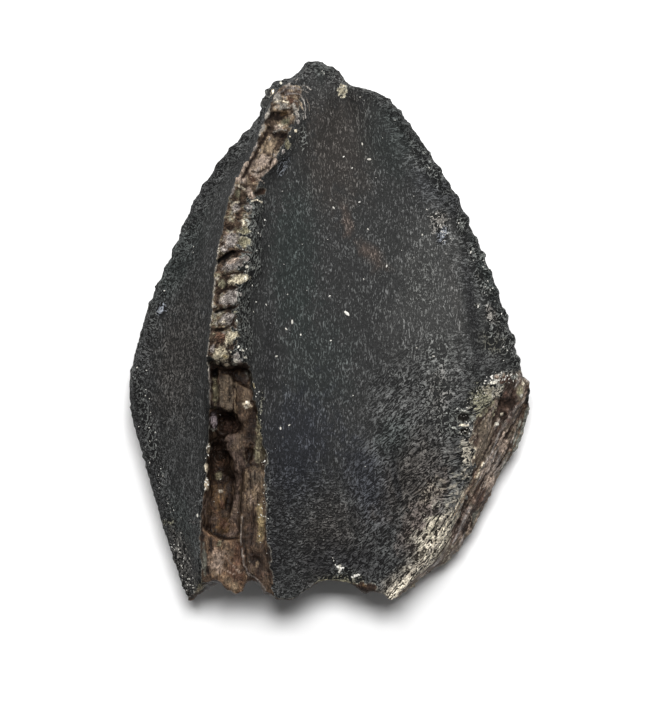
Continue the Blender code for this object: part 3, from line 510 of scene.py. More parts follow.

# Soft changes of the enamel's black: as the blobs, with a strength and a paint. Some are painted
# light and shade: the grey_black patch at (8.2, 3.0) is painted sheen, and the deep_black strips at
# (-4.2, -2.5), (-8.6, 10.5) and (9.75, 2.0) are painted shade.
SHADES = (
    (0.5, 13.0, 2.8, 5.0, 0, 0.9, "brown_black"),
    (4.0, 13.5, 2.0, 3.0, -20, 0.5, "green_black"),
    (-2.5, 5.0, 1.8, 6.0, 0, 0.8, "green_black"),
    (-1.0, -2.0, 3.0, 4.0, 0, 0.5, "green_black"),
    (7.5, 10.0, 1.8, 3.0, -25, 0.3, "blue_black"),
    (-2.5, -8.0, 3.0, 4.5, 10, 0.8, "blue_black"),
    (2.5, -10.5, 4.0, 1.6, 70, 0.7, "blue_black"),
    (0.0, -15.0, 4.0, 2.5, 90, 0.6, "brown_black"),
    (7.0, 2.0, 2.0, 6.0, -12, 0.9, "grey_black"),
    (6.0, -6.0, 3.0, 3.0, 0, 0.5, "grey_black"),
    (5.8, -10.0, 1.8, 4.5, 30, 0.8, "brown_black"),
    (0.5, -16.0, 3.5, 1.6, 0, 0.9, "deep_black"),
    (-10.0, -17.5, 1.2, 2.5, -15, 0.9, "deep_black"),
    (-13.0, -8.5, 0.9, 6.0, -14, 0.8, "deep_black"),
    (-4.0, -12.0, 0.8, 6.0, 0, 0.5, "deep_black"),
    # Painted shade on the sloping upper left face.
    (-8.6, 10.5, 0.8, 5.0, 33, 0.5, "deep_black"),
    (4.3, -7.2, 1.3, 1.6, 20, 0.5, "green_black"),
    (6.4, -12.6, 1.0, 3.2, 28, 0.9, "rust_black"),
    (1.16, 7.7, 0.4, 1.1, -12, 0.95, "rust_black"),
    (2.8, 5.5, 0.6, 1.4, -50, 0.95, "rust_black"),
    (-10.5, -2.0, 2.0, 5.0, 10, 0.6, "brown_black"),
    (-11.0, 5.0, 1.5, 4.0, 28, 0.6, "green_black"),
    (-10.3, -14.0, 1.0, 3.5, -15, 0.6, "green_black"),
    (-0.3, 17.8, 2.2, 1.6, 0, 0.8, "grey_black"),
    (-0.6, 18.3, 0.8, 0.8, 0, 0.5, "green_black"),
    # Painted shade in the furrow inside the right rim.
    (9.75, 2.0, 0.4, 4.2, -8, 0.95, "deep_black"),
    (10.9, 4.5, 0.6, 4.0, -20, 0.7, "green_black"),
    (8.6, 2.8, 0.4, 2.6, -10, 0.25, "rust_black"),
    (4.5, -10.2, 2.2, 0.3, 80, 0.9, "deep_black"),
    # Painted sheen on the right face.
    (8.2, 3.0, 1.1, 4.5, -12, 0.7, "grey_black"),
    (5.0, -0.2, 1.8, 3.0, 0, 0.6, "grey_black"),
    (8.0, -3.3, 1.6, 1.4, 0, 0.8, "grey_black"),
    (7.6, -5.8, 1.1, 2.4, 0, 0.85, "grey_black"),
    (7.8, 7.0, 1.3, 2.4, -20, 0.7, "grey_black"),
    (-10.3, -16.2, 1.1, 3.2, -15, 0.8, "black"),
    (-4.2, -15.6, 0.6, 2.6, -10, 0.7, "deep_black"),
    # Painted shade beside the keel and its broken trough.
    (-4.2, -2.5, 0.8, 4.4, 0, 0.75, "deep_black"),
    (-3.2, -14.0, 1.3, 3.2, 0, 0.5, "deep_black"),
)

# Pale crust on the enamel's ridges: as the shades.
FROSTS = (
    (7.6, 7.75, 0.68, 0.85, 15, 0.85, "pearl"),
    (7.8, 6.8, 0.45, 0.8, 10, 0.9, "ice"),
    (9.15, 7.5, 0.42, 0.75, 0, 0.8, "frost"),
    (9.87, 5.75, 0.27, 0.3, 0, 0.9, "frost"),
    (10.33, 3.93, 0.2, 0.12, 0, 0.9, "white"),
    (10.26, 1.82, 0.2, 0.12, 0, 0.9, "white"),
    (11.2, 1.25, 0.4, 0.7, -20, 0.78, "pearl"),
    (11.2, -0.5, 0.9, 1.2, -15, 0.4, "olive"),
    (10.5, -4.7, 1.0, 1.1, 20, 0.9, "moss"),
    (11.0, -4.1, 0.5, 0.5, 20, 1.0, "straw"),
    (11.25, -0.1, 0.5, 0.7, -20, 0.6, "frost"),
    (10.6, 3.4, 0.4, 1.2, -20, 0.5, "frost"),
    (7.5, -1.5, 1.4, 1.8, 0, 0.32, "frost"),
    (7.6, -4.4, 0.9, 2.6, 0, 0.38, "pearl"),
    (6.5, 3.5, 1.6, 3.0, 0, 0.25, "frost"),
    (7.5, -3.8, 1.6, 0.22, 6, 0.6, "frost"),
    (6.9, -4.9, 0.22, 0.9, 30, 0.45, "frost"),
    (8.7, -6.2, 1.1, 1.1, 0, 0.75, "frost"),
    (9.6, -8.5, 0.45, 1.0, 10, 0.75, "cream"),
    (7.4, -9.6, 1.5, 1.3, 40, 0.25, "lilac"),
    (6.2, -13.4, 1.2, 2.6, 32, 0.35, "lilac"),
    (7.0, -11.2, 0.8, 1.6, 32, 0.35, "cream"),
    (-11.9, 1.6, 0.36, 0.55, 20, 0.9, "ice"),
    (-12.9, -6.5, 0.6, 5.0, -13, 0.36, "frost"),
    (-10.4, -16.2, 0.8, 2.8, -16, 0.45, "pearl"),
    (-9.4, -17.9, 0.7, 1.0, -10, 0.4, "olive"),
    (-9.2, 8.0, 0.8, 3.5, 32, 0.12, "frost"),
    (-7.6, 12.2, 0.6, 2.6, 35, 0.12, "frost"),
    (-0.6, 18.2, 0.5, 0.4, 0, 0.15, "olive"),
    (0.9, -16.9, 0.9, 0.5, 0, 0.5, "frost"),
    (0.6, -17.3, 1.6, 0.35, 0, 0.6, "moss"),
    (-11.3, -13.4, 0.5, 0.3, 0, 0.9, "moss"),
    (-9.5, -13.3, 0.5, 0.15, 0, 0.8, "lilac"),
    (-5.3, 5.5, 0.5, 2.6, -2, 0.65, "frost"),
    (-5.9, 0.5, 0.45, 3.2, -2, 0.65, "frost"),
    (-5.0, 8.8, 0.4, 1.0, 0, 0.5, "frost"),
    (-1.9, 13.5, 0.35, 1.5, -4, 0.4, "frost"),
    (-3.3, 11.6, 0.4, 0.9, 25, 0.5, "ice"),
    (-4.95, -6.4, 0.22, 3.0, 4, 0.38, "moss"),
    (-4.35, -11.5, 0.25, 3.0, 0, 0.28, "frost"),
    (-6.9, 13.2, 0.5, 0.8, 30, 0.3, "frost"),
)

# Where the edge of the crown swells or dips a little: the side, 1 on the right and -1 on the left,
# then y, reach and height.
EDGE_SWELLS = (
    (-1, -4.3, 3.2, 0.1), (-1, 12.6, 2.2, 0.12), (1, 9.8, 1.8, 0.12), (1, 18.0, 0.4, -0.15),
)


def curve_through(*stations):
    """A smooth function through (place, value) pairs that never overshoots between them."""
    places, values = np.array(stations).T
    slopes = np.diff(values) / np.diff(places)
    before, after = slopes[:-1], slopes[1:]
    bends = np.where(before * after > 0, 2 * before * after / (before + after + 1e-12), 0.0)
    tangents = np.concatenate((slopes[:1], bends, slopes[-1:]))

    def value_at(place):
        place = np.clip(place, places[0], places[-1])
        i = np.clip(np.searchsorted(places, place, side="right") - 1, 0, len(slopes) - 1)
        run = places[i + 1] - places[i]
        t = (place - places[i]) / run
        return (
            values[i] * (1 + 2 * t) * (1 - t) ** 2
            + tangents[i] * run * t * (1 - t) ** 2
            + values[i + 1] * t * t * (3 - 2 * t)
            + tangents[i + 1] * run * t * t * (t - 1)
        )

    return value_at


# The solid's own lines, as x at each y.
left_edge = curve_through(
    (-20.6, -9.5), (-16.1, -11.1), (-9.0, -13.2), (-4.4, -14.2), (0.8, -13.2), (5.5, -11.25),
    (9.6, -9.4), (12.2, -7.6), (15.0, -5.2), (16.8, -4.5), (17.7, -3.6), (18.2, -2.3), (19.05, -1.75),
)
right_edge = curve_through(
    (-20.6, 2.8), (-18.8, 4.6), (-17.7, 5.9), (-15.6, 8.9), (-13.4, 10.3), (-9.5, 12.2),
    (-6.4, 13.8), (-4.4, 14.2), (-3.2, 13.6), (-0.4, 12.8), (4.1, 11.3), (8.7, 9.2), (13.4, 6.4),
    (15.4, 5.0), (16.6, 3.8), (17.15, 2.5), (17.45, 1.2), (18.2, 0.3), (18.65, -0.1), (19.05, -0.65),
)
# How far inside the right margin the brown broken side begins, and how wide the crust beside it is.
broken_width = curve_through(
    (-20.6, -0.2), (-17.4, -0.1), (-16.3, 0.05), (-15.3, 0.8), (-13.6, 1.6), (-11.8, 1.8), (-9.7, 2.2),
    (-7.6, 3.4), (-6.2, 3.9), (-4.8, 2.7), (-3.6, 1.6), (-2.9, 0.6), (-2.0, 0.0),
)
crust_width = curve_through(
    (-20.6, 1.3), (-18.0, 1.4), (-16.0, 2.1), (-13.9, 2.3), (-11.8, 1.6), (-9.7, 1.8), (-8.2, 1.1),
    (-6.4, 0.2), (-4.8, 0.9), (-3.2, 0.4), (-2.4, 0.0),
)
keel_line = curve_through(
    (-20.6, -9.15), (-13.2, -9.0), (-7.6, -8.8), (-1.8, -8.55), (2.1, -8.2), (5.4, -7.9),
    (7.1, -7.55), (9.9, -6.9), (12.1, -5.65), (13.8, -5.0), (15.9, -4.2), (17.1, -3.6), (18.0, -2.1),
    (19.05, -1.55),
)
keel_width = curve_through(
    (-20.6, 3.4), (-1.8, 2.4), (2.0, 1.9), (4.5, 2.5), (8.0, 2.1), (11.0, 1.8), (15.0, 2.3),
    (16.8, 1.9), (18.0, 0.9), (19.05, 0.35),
)
break_left = curve_through(
    (-20.6, -8.9), (-17.4, -9.0), (-14.0, -9.15), (-12.6, -9.05), (-10.5, -8.75), (-8.5, -8.65),
    (-6.5, -8.5), (-2.1, -8.45),
)
break_right = curve_through(
    (-23.6, -3.0), (-18.6, -3.9), (-13.0, -4.45), (-9.7, -4.5), (-6.0, -5.0), (-4.0, -5.4), (0.5, -5.9),
)
# Heights of the two margins' lower sides.
left_height = curve_through(
    (-20.6, 4.4), (-12.0, 4.9), (-4.0, 5.0), (12.0, 5.2), (16.0, 5.1), (19.05, 4.8),
)
right_lip = curve_through(
    (-20.6, 1.6), (-15.5, 1.9), (-12.0, 3.0), (-6.0, 3.9), (-3.0, 5.6), (2.0, 6.3), (10.0, 6.0),
    (16.0, 5.2), (19.05, 4.7),
)


def smooth_step(low, high, value):
    """0 below low, 1 above high, and a smooth rise between them."""
    t = np.clip((value - low) / (high - low), 0.0, 1.0)
    return t * t * (3 - 2 * t)


def fall(low, high, value):
    """1 below low, 0 above high, and a smooth fall between them."""
    return 1 - smooth_step(low, high, value)


def above_break(y):
    """1 along the part of the keel that still stands, and 0 below its break."""
    return smooth_step(-2.3, -1.9, y)


def wave(points, size, shift=0.0):
    """Smooth unevenness between about -1 and 1, with bumps about size across, one size or three.

    Each pattern has a shift of its own, so that no two of them run together.
    """
    return np.array([noise.noise(place) for place in (points / size + shift).tolist()])


def turned(points, degrees):
    """The points turned about Z, so that a stretched pattern on them runs aslant."""
    c, s = math.cos(math.radians(degrees)), math.sin(math.radians(degrees))
    x, y, z = points.T
    return np.stack((c * x + s * y, c * y - s * x, z), axis=1)


def worms(points, size, shift=0.0):
    """Winding grooves: 0 along their bottoms and 1 between them."""
    return np.minimum(np.abs(wave(points, size, shift)) * 4.0, 1.0)


def away_from_line(x, y, corners):
    """Distance of each place from a line through corners."""
    away = np.full(len(x), 1e9)
    for (x0, y0), (x1, y1) in zip(corners, corners[1:]):
        run_x, run_y = x1 - x0, y1 - y0
        t = ((x - x0) * run_x + (y - y0) * run_y) / (run_x * run_x + run_y * run_y)
        t = np.clip(t, 0.0, 1.0)
        away = np.minimum(away, np.hypot(x - x0 - t * run_x, y - y0 - t * run_y))
    return away


def inside_outline(x, y, corners):
    """True for each place inside a closed outline."""
    inside = np.zeros(len(x), bool)
    for (x0, y0), (x1, y1) in zip(corners, corners[1:] + corners[:1]):
        if y0 != y1:
            crosses = (y0 > y) != (y1 > y)
            inside ^= crosses & (x < (x1 - x0) * (y - y0) / (y1 - y0) + x0)
    return inside


def take(piece):
    """Leaves only this piece selected, and active."""
    bpy.ops.object.select_all(action="DESELECT")
    piece.select_set(True)
    bpy.context.view_layer.objects.active = piece


def read(items, name):
    """A vector of each point, normal or face of a mesh, as rows."""
    vectors = np.empty(len(items) * 3)
    items.foreach_get(name, vectors)
    return vectors.reshape(-1, 3)


def write_points(mesh, points):
    mesh.vertices.foreach_set("co", points.ravel())
    mesh.update()


def select_faces(mesh, chosen):
    """Selects the chosen faces of a mesh in object mode, with their edges and points."""
    faces = np.asarray(chosen, bool)
    mesh.vertices.foreach_set("select", np.zeros(len(mesh.vertices), bool))
    mesh.edges.foreach_set("select", np.zeros(len(mesh.edges), bool))
    mesh.polygons.foreach_set("select", faces)


@contextmanager
def editing(piece):
    """Edit mode on one piece, with its selected faces ready to be worked on."""
    take(piece)
    bpy.ops.object.mode_set(mode="EDIT")
    bpy.ops.mesh.select_mode(type="FACE")
    yield
    bpy.ops.object.mode_set(mode="OBJECT")


def finish(piece, kind, **settings):
    """Gives a piece a modifier and applies it."""
    take(piece)
    modifier = piece.modifiers.new(kind, kind)
    for name, value in settings.items():
        setattr(modifier, name, value)
    bpy.ops.object.modifier_apply(modifier=modifier.name)


def clay_blank():
    """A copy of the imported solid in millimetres, with its loose triangles joined."""
    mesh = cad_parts["tooth"].data.copy()
    mesh.transform(Matrix.Scale(1 / MM, 4))
    mesh.materials.clear()
    blank = bpy.data.objects.new("tooth_crown", mesh)
    bpy.context.scene.collection.objects.link(blank)
    select_faces(mesh, np.ones(len(mesh.polygons)))
    with editing(blank):
        bpy.ops.mesh.remove_doubles(threshold=MERGE_GAP)
    return blank


def surface_height(solid):
    """A function that gives the height of a solid's upper side at x and y."""
    mesh = solid.data
    tree = BVHTree.FromPolygons([v.co for v in mesh.vertices], [p.vertices[:] for p in mesh.polygons])

    def height_at(x, y):
        hit = tree.ray_cast(Vector((x, y, ABOVE_ALL)), Vector((0.0, 0.0, -1.0)))[0]
        return hit.z if hit else MARGIN_HEIGHT

    return height_at


def knuckle(place, radii, turn, index):
    """A lump of clay: a ball drawn out, turned and roughly knocked about."""
    bpy.ops.object.select_all(action="DESELECT")
    bpy.ops.mesh.primitive_ico_sphere_add(subdivisions=4, radius=1.0)
    lump = bpy.context.active_object
    lump.name = f"knuckle_{index}"
    with editing(lump):
        bpy.ops.transform.resize(value=radii)
        bpy.ops.transform.rotate(value=math.radians(turn), orient_axis="Z", center_override=(0, 0, 0))
    points = read(lump.data.vertices, "co")
    rough = 1.0 + 0.22 * wave(points, 0.45, index * 3.1) + 0.1 * wave(points, 0.2, index * 1.7)
    write_points(lump.data, points * rough[:, None] + np.array(place))
    return lump


def slab(name, corners, heights, depth):
    """A broken plate: an outline with its corners at their heights, drawn down, its rim bevelled."""
    bpy.ops.object.select_all(action="DESELECT")
    bpy.ops.mesh.primitive_circle_add(vertices=len(corners), radius=1.0, fill_type="NGON")
    plate = bpy.context.active_object
    plate.name = name
    top, low = heights
    ys = [corner[1] for corner in corners]
    for vert, (x, y) in zip(plate.data.vertices, corners):
        share = (y - min(ys)) / (max(ys) - min(ys))
        vert.co = (x, y, low + (top - low) * share)
    with editing(plate):
        bpy.ops.mesh.select_all(action="SELECT")
        bpy.ops.mesh.extrude_region_move(TRANSFORM_OT_translate={"value": (0, 0, -depth)})
        bpy.ops.mesh.select_all(action="SELECT")
        bpy.ops.mesh.normals_make_consistent(inside=False)
    finish(plate, "BEVEL", width=SLAB_BEVEL, segments=2)
    return plate


def join(pieces):
    """Joins pieces into the first."""
    bpy.ops.object.select_all(action="DESELECT")
    for piece in pieces:
        piece.select_set(True)
    bpy.context.view_layer.objects.active = pieces[0]
    bpy.ops.object.join()
    return pieces[0]


def grade(x, y, z, astray=0.0):
    """The kinds of surface at each place of the crown, each from 0 to 1, and how far in it lies."""
    left, right = left_edge(y), right_edge(y)
    share = (x - left) / (right - left)
    girdle = (left_height(y) - 1.0) * (1 - share) + (right_lip(y) - 1.0) * share
    top = smooth_step(-0.2, 0.2, z - girdle)
    crest = (x - keel_line(y)) / keel_width(y)
    standing = above_break(y)
    on_crest = smooth_step(-0.08, 0.02, crest) * fall(0.85, 1.02, crest) * standing
    past_broken = x - right + broken_width(y) + astray
    on_side = fall(-3.0, -2.4, y)
    into_trough = smooth_step(-0.08, 0.08, x - break_left(y) + 0.2 * astray)
    out_of_trough = smooth_step(-0.1, 0.1, x - break_right(y) + 0.6 * astray)
    return SimpleNamespace(
        top=top,
        crest=crest,
        keel=on_crest * top * fall(17.0, 17.6, y),
        trough=into_trough * (1 - out_of_trough) * (1 - standing) * top,
        past_broken=past_broken,
        fracture=smooth_step(-0.1, 0.1, past_broken) * on_side * top,
        crust=smooth_step(-1.5, 0.9, past_broken + crust_width(y)) * on_side * top,
        margin=np.minimum(x - left, right - x),
    )


def weigh(piece, name, weights):
    """Gives a piece a vertex group with a weight at each point, in steps of a tenth."""
    group = piece.vertex_groups.new(name=name)
    steps = np.round(np.clip(weights, 0.0, 1.0) * 10).astype(int)
    for step in range(1, 11):
        group.add(np.flatnonzero(steps == step).tolist(), step / 10, "REPLACE")


def rough_out():
    """The crown's clay: the blank with its knuckles and slabs, remeshed fine and smoothed."""
    blank = clay_blank()
    height_at = surface_height(blank)
    pieces = [blank]
    for index, (x, y, across, along, turn, rise, _) in enumerate(BLOBS):
        if rise >= KNUCKLE_RISE:
            thick = max(0.4, 1.8 * rise)
            place = (x, y, height_at(x, y) + rise - thick)
            pieces.append(knuckle(place, (across, along, thick), turn, index))
    for name, corners, heights, depth, _ in SLABS:
        pieces.append(slab(name, corners, heights, depth))
    crown = join(pieces)
    finish(crown, "REMESH", mode="VOXEL", voxel_size=CLAY_GRAIN)

    points = read(crown.data.vertices, "co")
    kind = grade(*points.T)
    edge = smooth_step(0.9, 2.0, kind.margin)
    off_keel = 1 - smooth_step(-0.35, -0.2, kind.crest) * fall(1.05, 1.3, kind.crest)
    weights = edge * off_keel * (1 - 0.8 * kind.fracture) * (1 - kind.trough)
    weights = np.maximum(weights, 0.1) * smooth_step(-18.0, -16.5, points[:, 1])
    weigh(crown, "smooth", weights)
    finish(crown, "SMOOTH", factor=0.5, iterations=SMOOTHING_ROUNDS, vertex_group="smooth")
    crown.vertex_groups.clear()
    return crown


def fine_and_plain(crown):
    """The crown's faces that are of the keel and the broken places, and those of the plain face."""
    middles = read(crown.data.polygons, "center")
    kind = grade(*middles.T)
    x, y, _ = middles.T
    keel = (kind.top > 0.5) & (kind.crest > -0.15) & (kind.crest < 1.4) & (y > -2.5)
    trough = (kind.trough > 0.3) & (y > -18.6)
    side = (kind.top > 0.4) & (kind.past_broken > -crust_width(y) - 0.7) & (y < -2.4)
    left_foot = (kind.top > 0.5) & (x < -8.0) & (y < -14.0)
    fine = keel | trough | side | left_foot
    return fine, (kind.top > 0.8) & (kind.margin > 1.8) & (y > -16.5) & ~fine


def set_face_sizes(crown):
    """Thins the faces of the hidden back and of the plain face, and halves the fine ones."""
    middles = read(crown.data.polygons, "center")
    kind = grade(*middles.T)
    inland = (kind.margin > 1.2) & (middles[:, 1] > -16.0)
    select_faces(crown.data, inland & (kind.top < 0.05))
    with editing(crown):
        bpy.ops.mesh.decimate(ratio=BACK_KEPT)
    _, plain = fine_and_plain(crown)
    select_faces(crown.data, plain)
    with editing(crown):
        bpy.ops.mesh.decimate(ratio=FACE_KEPT)
    fine, _ = fine_and_plain(crown)
    select_faces(crown.data, fine)
    with editing(crown):
        bpy.ops.mesh.subdivide(number_cuts=1)


def spot(x, y, blob, ragged):
    """How far out each place lies in a blob: 0 at its middle, 1 at its edge."""
    middle_x, middle_y, across, along, turn = blob[:5]
    c, s = math.cos(math.radians(turn)), math.sin(math.radians(turn))
    out = np.hypot(
        ((x - middle_x) * c - (y - middle_y) * s) / across,
        ((x - middle_x) * s + (y - middle_y) * c) / along,
    )
    return out + ragged


def depth_below_edge(points, cell=0.5):
    """How far each place lies below the highest place within about a cell of it."""
    cells = np.floor(points[:, :2] / cell).astype(int)
    cells -= cells.min(axis=0) - 1
    highest = np.full(cells.max(axis=0) + 2, -1.0)
    np.maximum.at(highest, tuple(cells.T), points[:, 2])
    steps = [(i, j) for i in (-1, 0, 1) for j in (-1, 0, 1)]
    highest = np.maximum.reduce([np.roll(highest, step, axis=(0, 1)) for step in steps])
    return highest[tuple(cells.T)] - points[:, 2]


def look_over(mesh):
    """The crown's points, the patterns of unevenness on it, and what it is made of at each point."""
    c = SimpleNamespace(points=read(mesh.vertices, "co"), normals=read(mesh.vertex_normals, "vector"))
    points, normals = c.points, c.normals
    # These stay views of the points, and so follow them when they are carved.
    x, y, z = c.x, c.y, c.z = points.T
    c.resting = points[:, 2] < 0.02
    c.broad, c.middling, c.fine = wave(points, 1.6), wave(points, 0.6, 9.0), wave(points, 0.28, 20.0)
    c.ragged = 0.45 * c.fine + 0.3 * c.middling
    # Rough lumps of bare stone, which raise and sink it, with painted light on their tops and painted shade
    # between them.
    c.lumpy = wave(points, 0.55, 60.0) + 0.6 * wave(points, 0.24, 63.0)
    c.crystals = wave(points, 0.17, 70.0)
    # Fibres of bare dentine run along the tooth, and on the broken side along its edge.
    c.fibres = wave(points, (0.28, 2.2, 0.4), 30.0)
    c.side_fibres = wave(turned(points, -SIDE_SLANT), (0.3, 2.0, 0.4), 33.0)
    c.ledges = wave(turned(points, -SIDE_SLANT), (0.9, 3.0, 0.8), 36.0)

    c.kind = kind = grade(x, y, z, 0.5 * c.middling + 0.25 * c.fine)
    # The keel's steep left side stays enamel below the edge of the worn crest.
    steep = fall(0.15, 0.45, normals[:, 2])
    off_wall = 1 - steep * (kind.crest < 0.2) * above_break(y)
    # The worn crest frays out along its right side.
    c.upper = smooth_step(9.2, 10.2, y)
    c.keel = kind.keel * off_wall
    c.keel *= fall(0.7, 0.85, kind.crest - 0.3 * c.upper + 0.35 * c.fine + 0.25 * c.middling)
    crumbs = smooth_step(0.45, 0.7, kind.crest) * fall(0.95, 1.35, kind.crest + 0.5 * c.ragged)
    crumbs *= kind.top * above_break(y) * fall(9.0, 11.0, y)

    base = smooth_step(0.35, 0.75, -normals[:, 1]) * fall(-16.6, -15.6, y)
    base *= smooth_step(1.0, 2.2, right_edge(y) - x)
    # Below the edge of a broken wall there are no crust and no marks, but bare broken dentine.
    sunk = smooth_step(0.9, 2.2, depth_below_edge(points) + 0.5 * c.middling)
    c.under_crust = sunk * smooth_step(0.0, 0.4, kind.crust) * (1 - kind.fracture) * (y < -8.0)
    c.fracture = np.maximum(kind.fracture, c.under_crust)
    c.pulp = sunk * fall(-15.5, -14.5, y) * (np.abs(x + 1.0) < 4.5)
    c.base = np.maximum(base, c.pulp)
    c.painted = off_wall * (1 - c.base * sunk)
    c.marked = kind.top * (1 - c.base * sunk)

    c.back = 1 - kind.top
    c.bare = np.maximum.reduce([c.keel, kind.trough, c.fracture, c.base, c.back])
    c.enamel = 1 - c.bare
    c.crust = kind.crust * c.enamel
    c.frayed = crumbs * c.enamel
    return c


def lay_wrinkles(c):
    """Wrinkles lie upright on the face, level by the right margin and aslant at the lower right."""
    x, y, margin = c.x, c.y, c.kind.margin
    aslant = smooth_step(-2.0, 6.0, x) * fall(-8.0, 3.0, y)
    aslant = np.maximum(aslant, 0.8 * fall(-17.0, -11.0, y))
    c.aslant = aslant * smooth_step(-6.0, -3.0, x)
    level = 0.7 * fall(1.6, 4.5, margin) * (1 - c.aslant) * smooth_step(2.0, 5.0, x)
    c.level = np.maximum(level, 0.8 * fall(0.8, 1.6, margin) * (1 - c.aslant))
    c.coarse = np.maximum.reduce([
        c.aslant * smooth_step(1.0, 5.0, x),
        0.8 * fall(-14.0, -6.0, y),
        fall(0.6, 1.8, margin),
        0.6 * fall(-9.5, -8.5, x),
        0.35 * smooth_step(15.0, 17.0, y),
    ])


def carve(c):
    """Moves the points in and out along their normals: wrinkles, crust, fibres, ledges and lumps."""
    points, broad, middling, fine, lumpy = c.points, c.broad, c.middling, c.fine, c.lumpy
    bent = 0.1 * middling[:, None]
    slanted = worms(turned(points, WRINKLE_SLANT) + bent, (1.3, 0.6, 0.8), 5.0)
    levelled = worms(points, (1.2, 0.6, 0.8), 7.0)
    wrinkle = slanted * c.aslant + levelled * c.level * (1 - c.aslant)
    rise = c.enamel * (
        0.07 * c.coarse * (wrinkle - 0.7) + 0.05 * broad + (0.01 + 0.03 * c.coarse) * fine
    )
    c.crust_ridges = 1 - worms(turned(points, CRUST_SLANT) + bent, (1.5, 0.42, 0.7), 5.0)
    rise += c.crust * (0.12 * c.crust_ridges + 0.06 * fine)
    broken = c.fracture * (1 - 0.7 * c.under_crust)
    rise += broken * (0.14 * c.side_fibres + 0.26 * c.ledges + 0.1 * lumpy)
    rise += c.kind.trough * (0.05 * c.fibres + 0.06 * middling)
    rise += c.back * (0.06 * wave(points, (0.5, 3.5, 0.8), 40.0) + 0.09 * broad + 0.04 * middling)
    rise += c.base * (0.12 * middling + 0.08 * lumpy)
    rise += c.keel * (0.13 * lumpy + 0.09 * c.crystals)
    rim = fall(0.0, 0.8, c.kind.margin) * (c.z > 0.8)
    rise += rim * (0.06 * wave(points, 0.45, 66.0) + 0.03 * fine)
    for side, middle, reach, height in EDGE_SWELLS:
        rise += height * rim * (c.x * side > 0) * np.exp(-(((c.y - middle) / reach) ** 2))
    points += c.normals * rise[:, None]


def brush(layer, cover, paint, at=slice(None)):
    """Lays paint on a layer of colours, by the share that it covers at each point."""
    layer[at] += (np.array(PAINTS[paint]) - layer[at]) * np.clip(cover, 0.0, 1.0)[:, None]


def paint_stone(c):
    """Paints bare dentine: the back, the base, the broken side, the trough, the keel and its slabs."""
    middling, fine, fibres, side_fibres, lumpy = c.middling, c.fine, c.fibres, c.side_fibres, c.lumpy
    back, base, fracture, trough, keel, upper = c.back, c.base, c.fracture, c.kind.trough, c.keel, c.upper
    for cover, paint in (
        (back, "brown"),
        (back * smooth_step(0.0, 0.5, c.broad), "umber"),
        (back * 0.6 * smooth_step(0.15, 0.6, middling), "bark"),
        (base, "umber"),
        (base * smooth_step(0.1, 0.5, middling), "brown"),
        # Black in the pulp hollow: painted shade in it.
        (0.6 * c.pulp, "black"),
        (fracture, "bark"),
        (fracture * smooth_step(0.1, 0.45, side_fibres), "lilac"),
        (fracture * 0.9 * smooth_step(0.0, 0.4, -side_fibres + 0.5 * fine), "maroon"),
        (fracture * 0.7 * smooth_step(0.25, 0.6, fine + 0.5 * middling), "pink"),
        (fracture * 0.9 * smooth_step(0.2, 0.45, -c.ledges), "umber"),
        (trough, "umber"),
        (trough * smooth_step(0.0, 0.5, middling + 0.3 * fibres), "brown"),
        (keel, "brown"),
        # On the keel the paint follows the lumps: tan, olive and lilac on their tops is painted light, and
        # umber between them is painted shade.
        (keel * upper * smooth_step(0.0, 0.4, lumpy), "tan"),
        (keel * (1 - upper) * smooth_step(0.1, 0.5, lumpy), "olive"),
        (keel * smooth_step(0.35, 0.7, lumpy), "lilac"),
        (keel * smooth_step(0.2, 0.55, -lumpy), "umber"),
    ):
        brush(c.tint, cover, paint)
    for _, corners, _, _, paint in SLABS:
        cover = inside_outline(c.x + 0.15 * fine, c.y + 0.1 * middling, corners) * c.marked
        brush(c.tint, cover * 0.95, paint)
        brush(c.tint, cover * 0.4 * smooth_step(0.1, 0.5, fibres + middling), "tan")
        brush(c.tint, cover * 0.5 * smooth_step(0.1, 0.5, -fibres + middling), "umber")
    for stain in STAINS:
        strength, paint = stain[5:]
        cover = strength * fall(0.5, 1.2, spot(c.x, c.y, stain, 1.4 * c.ragged))
        brush(c.tint, cover * c.bare * c.marked, paint)


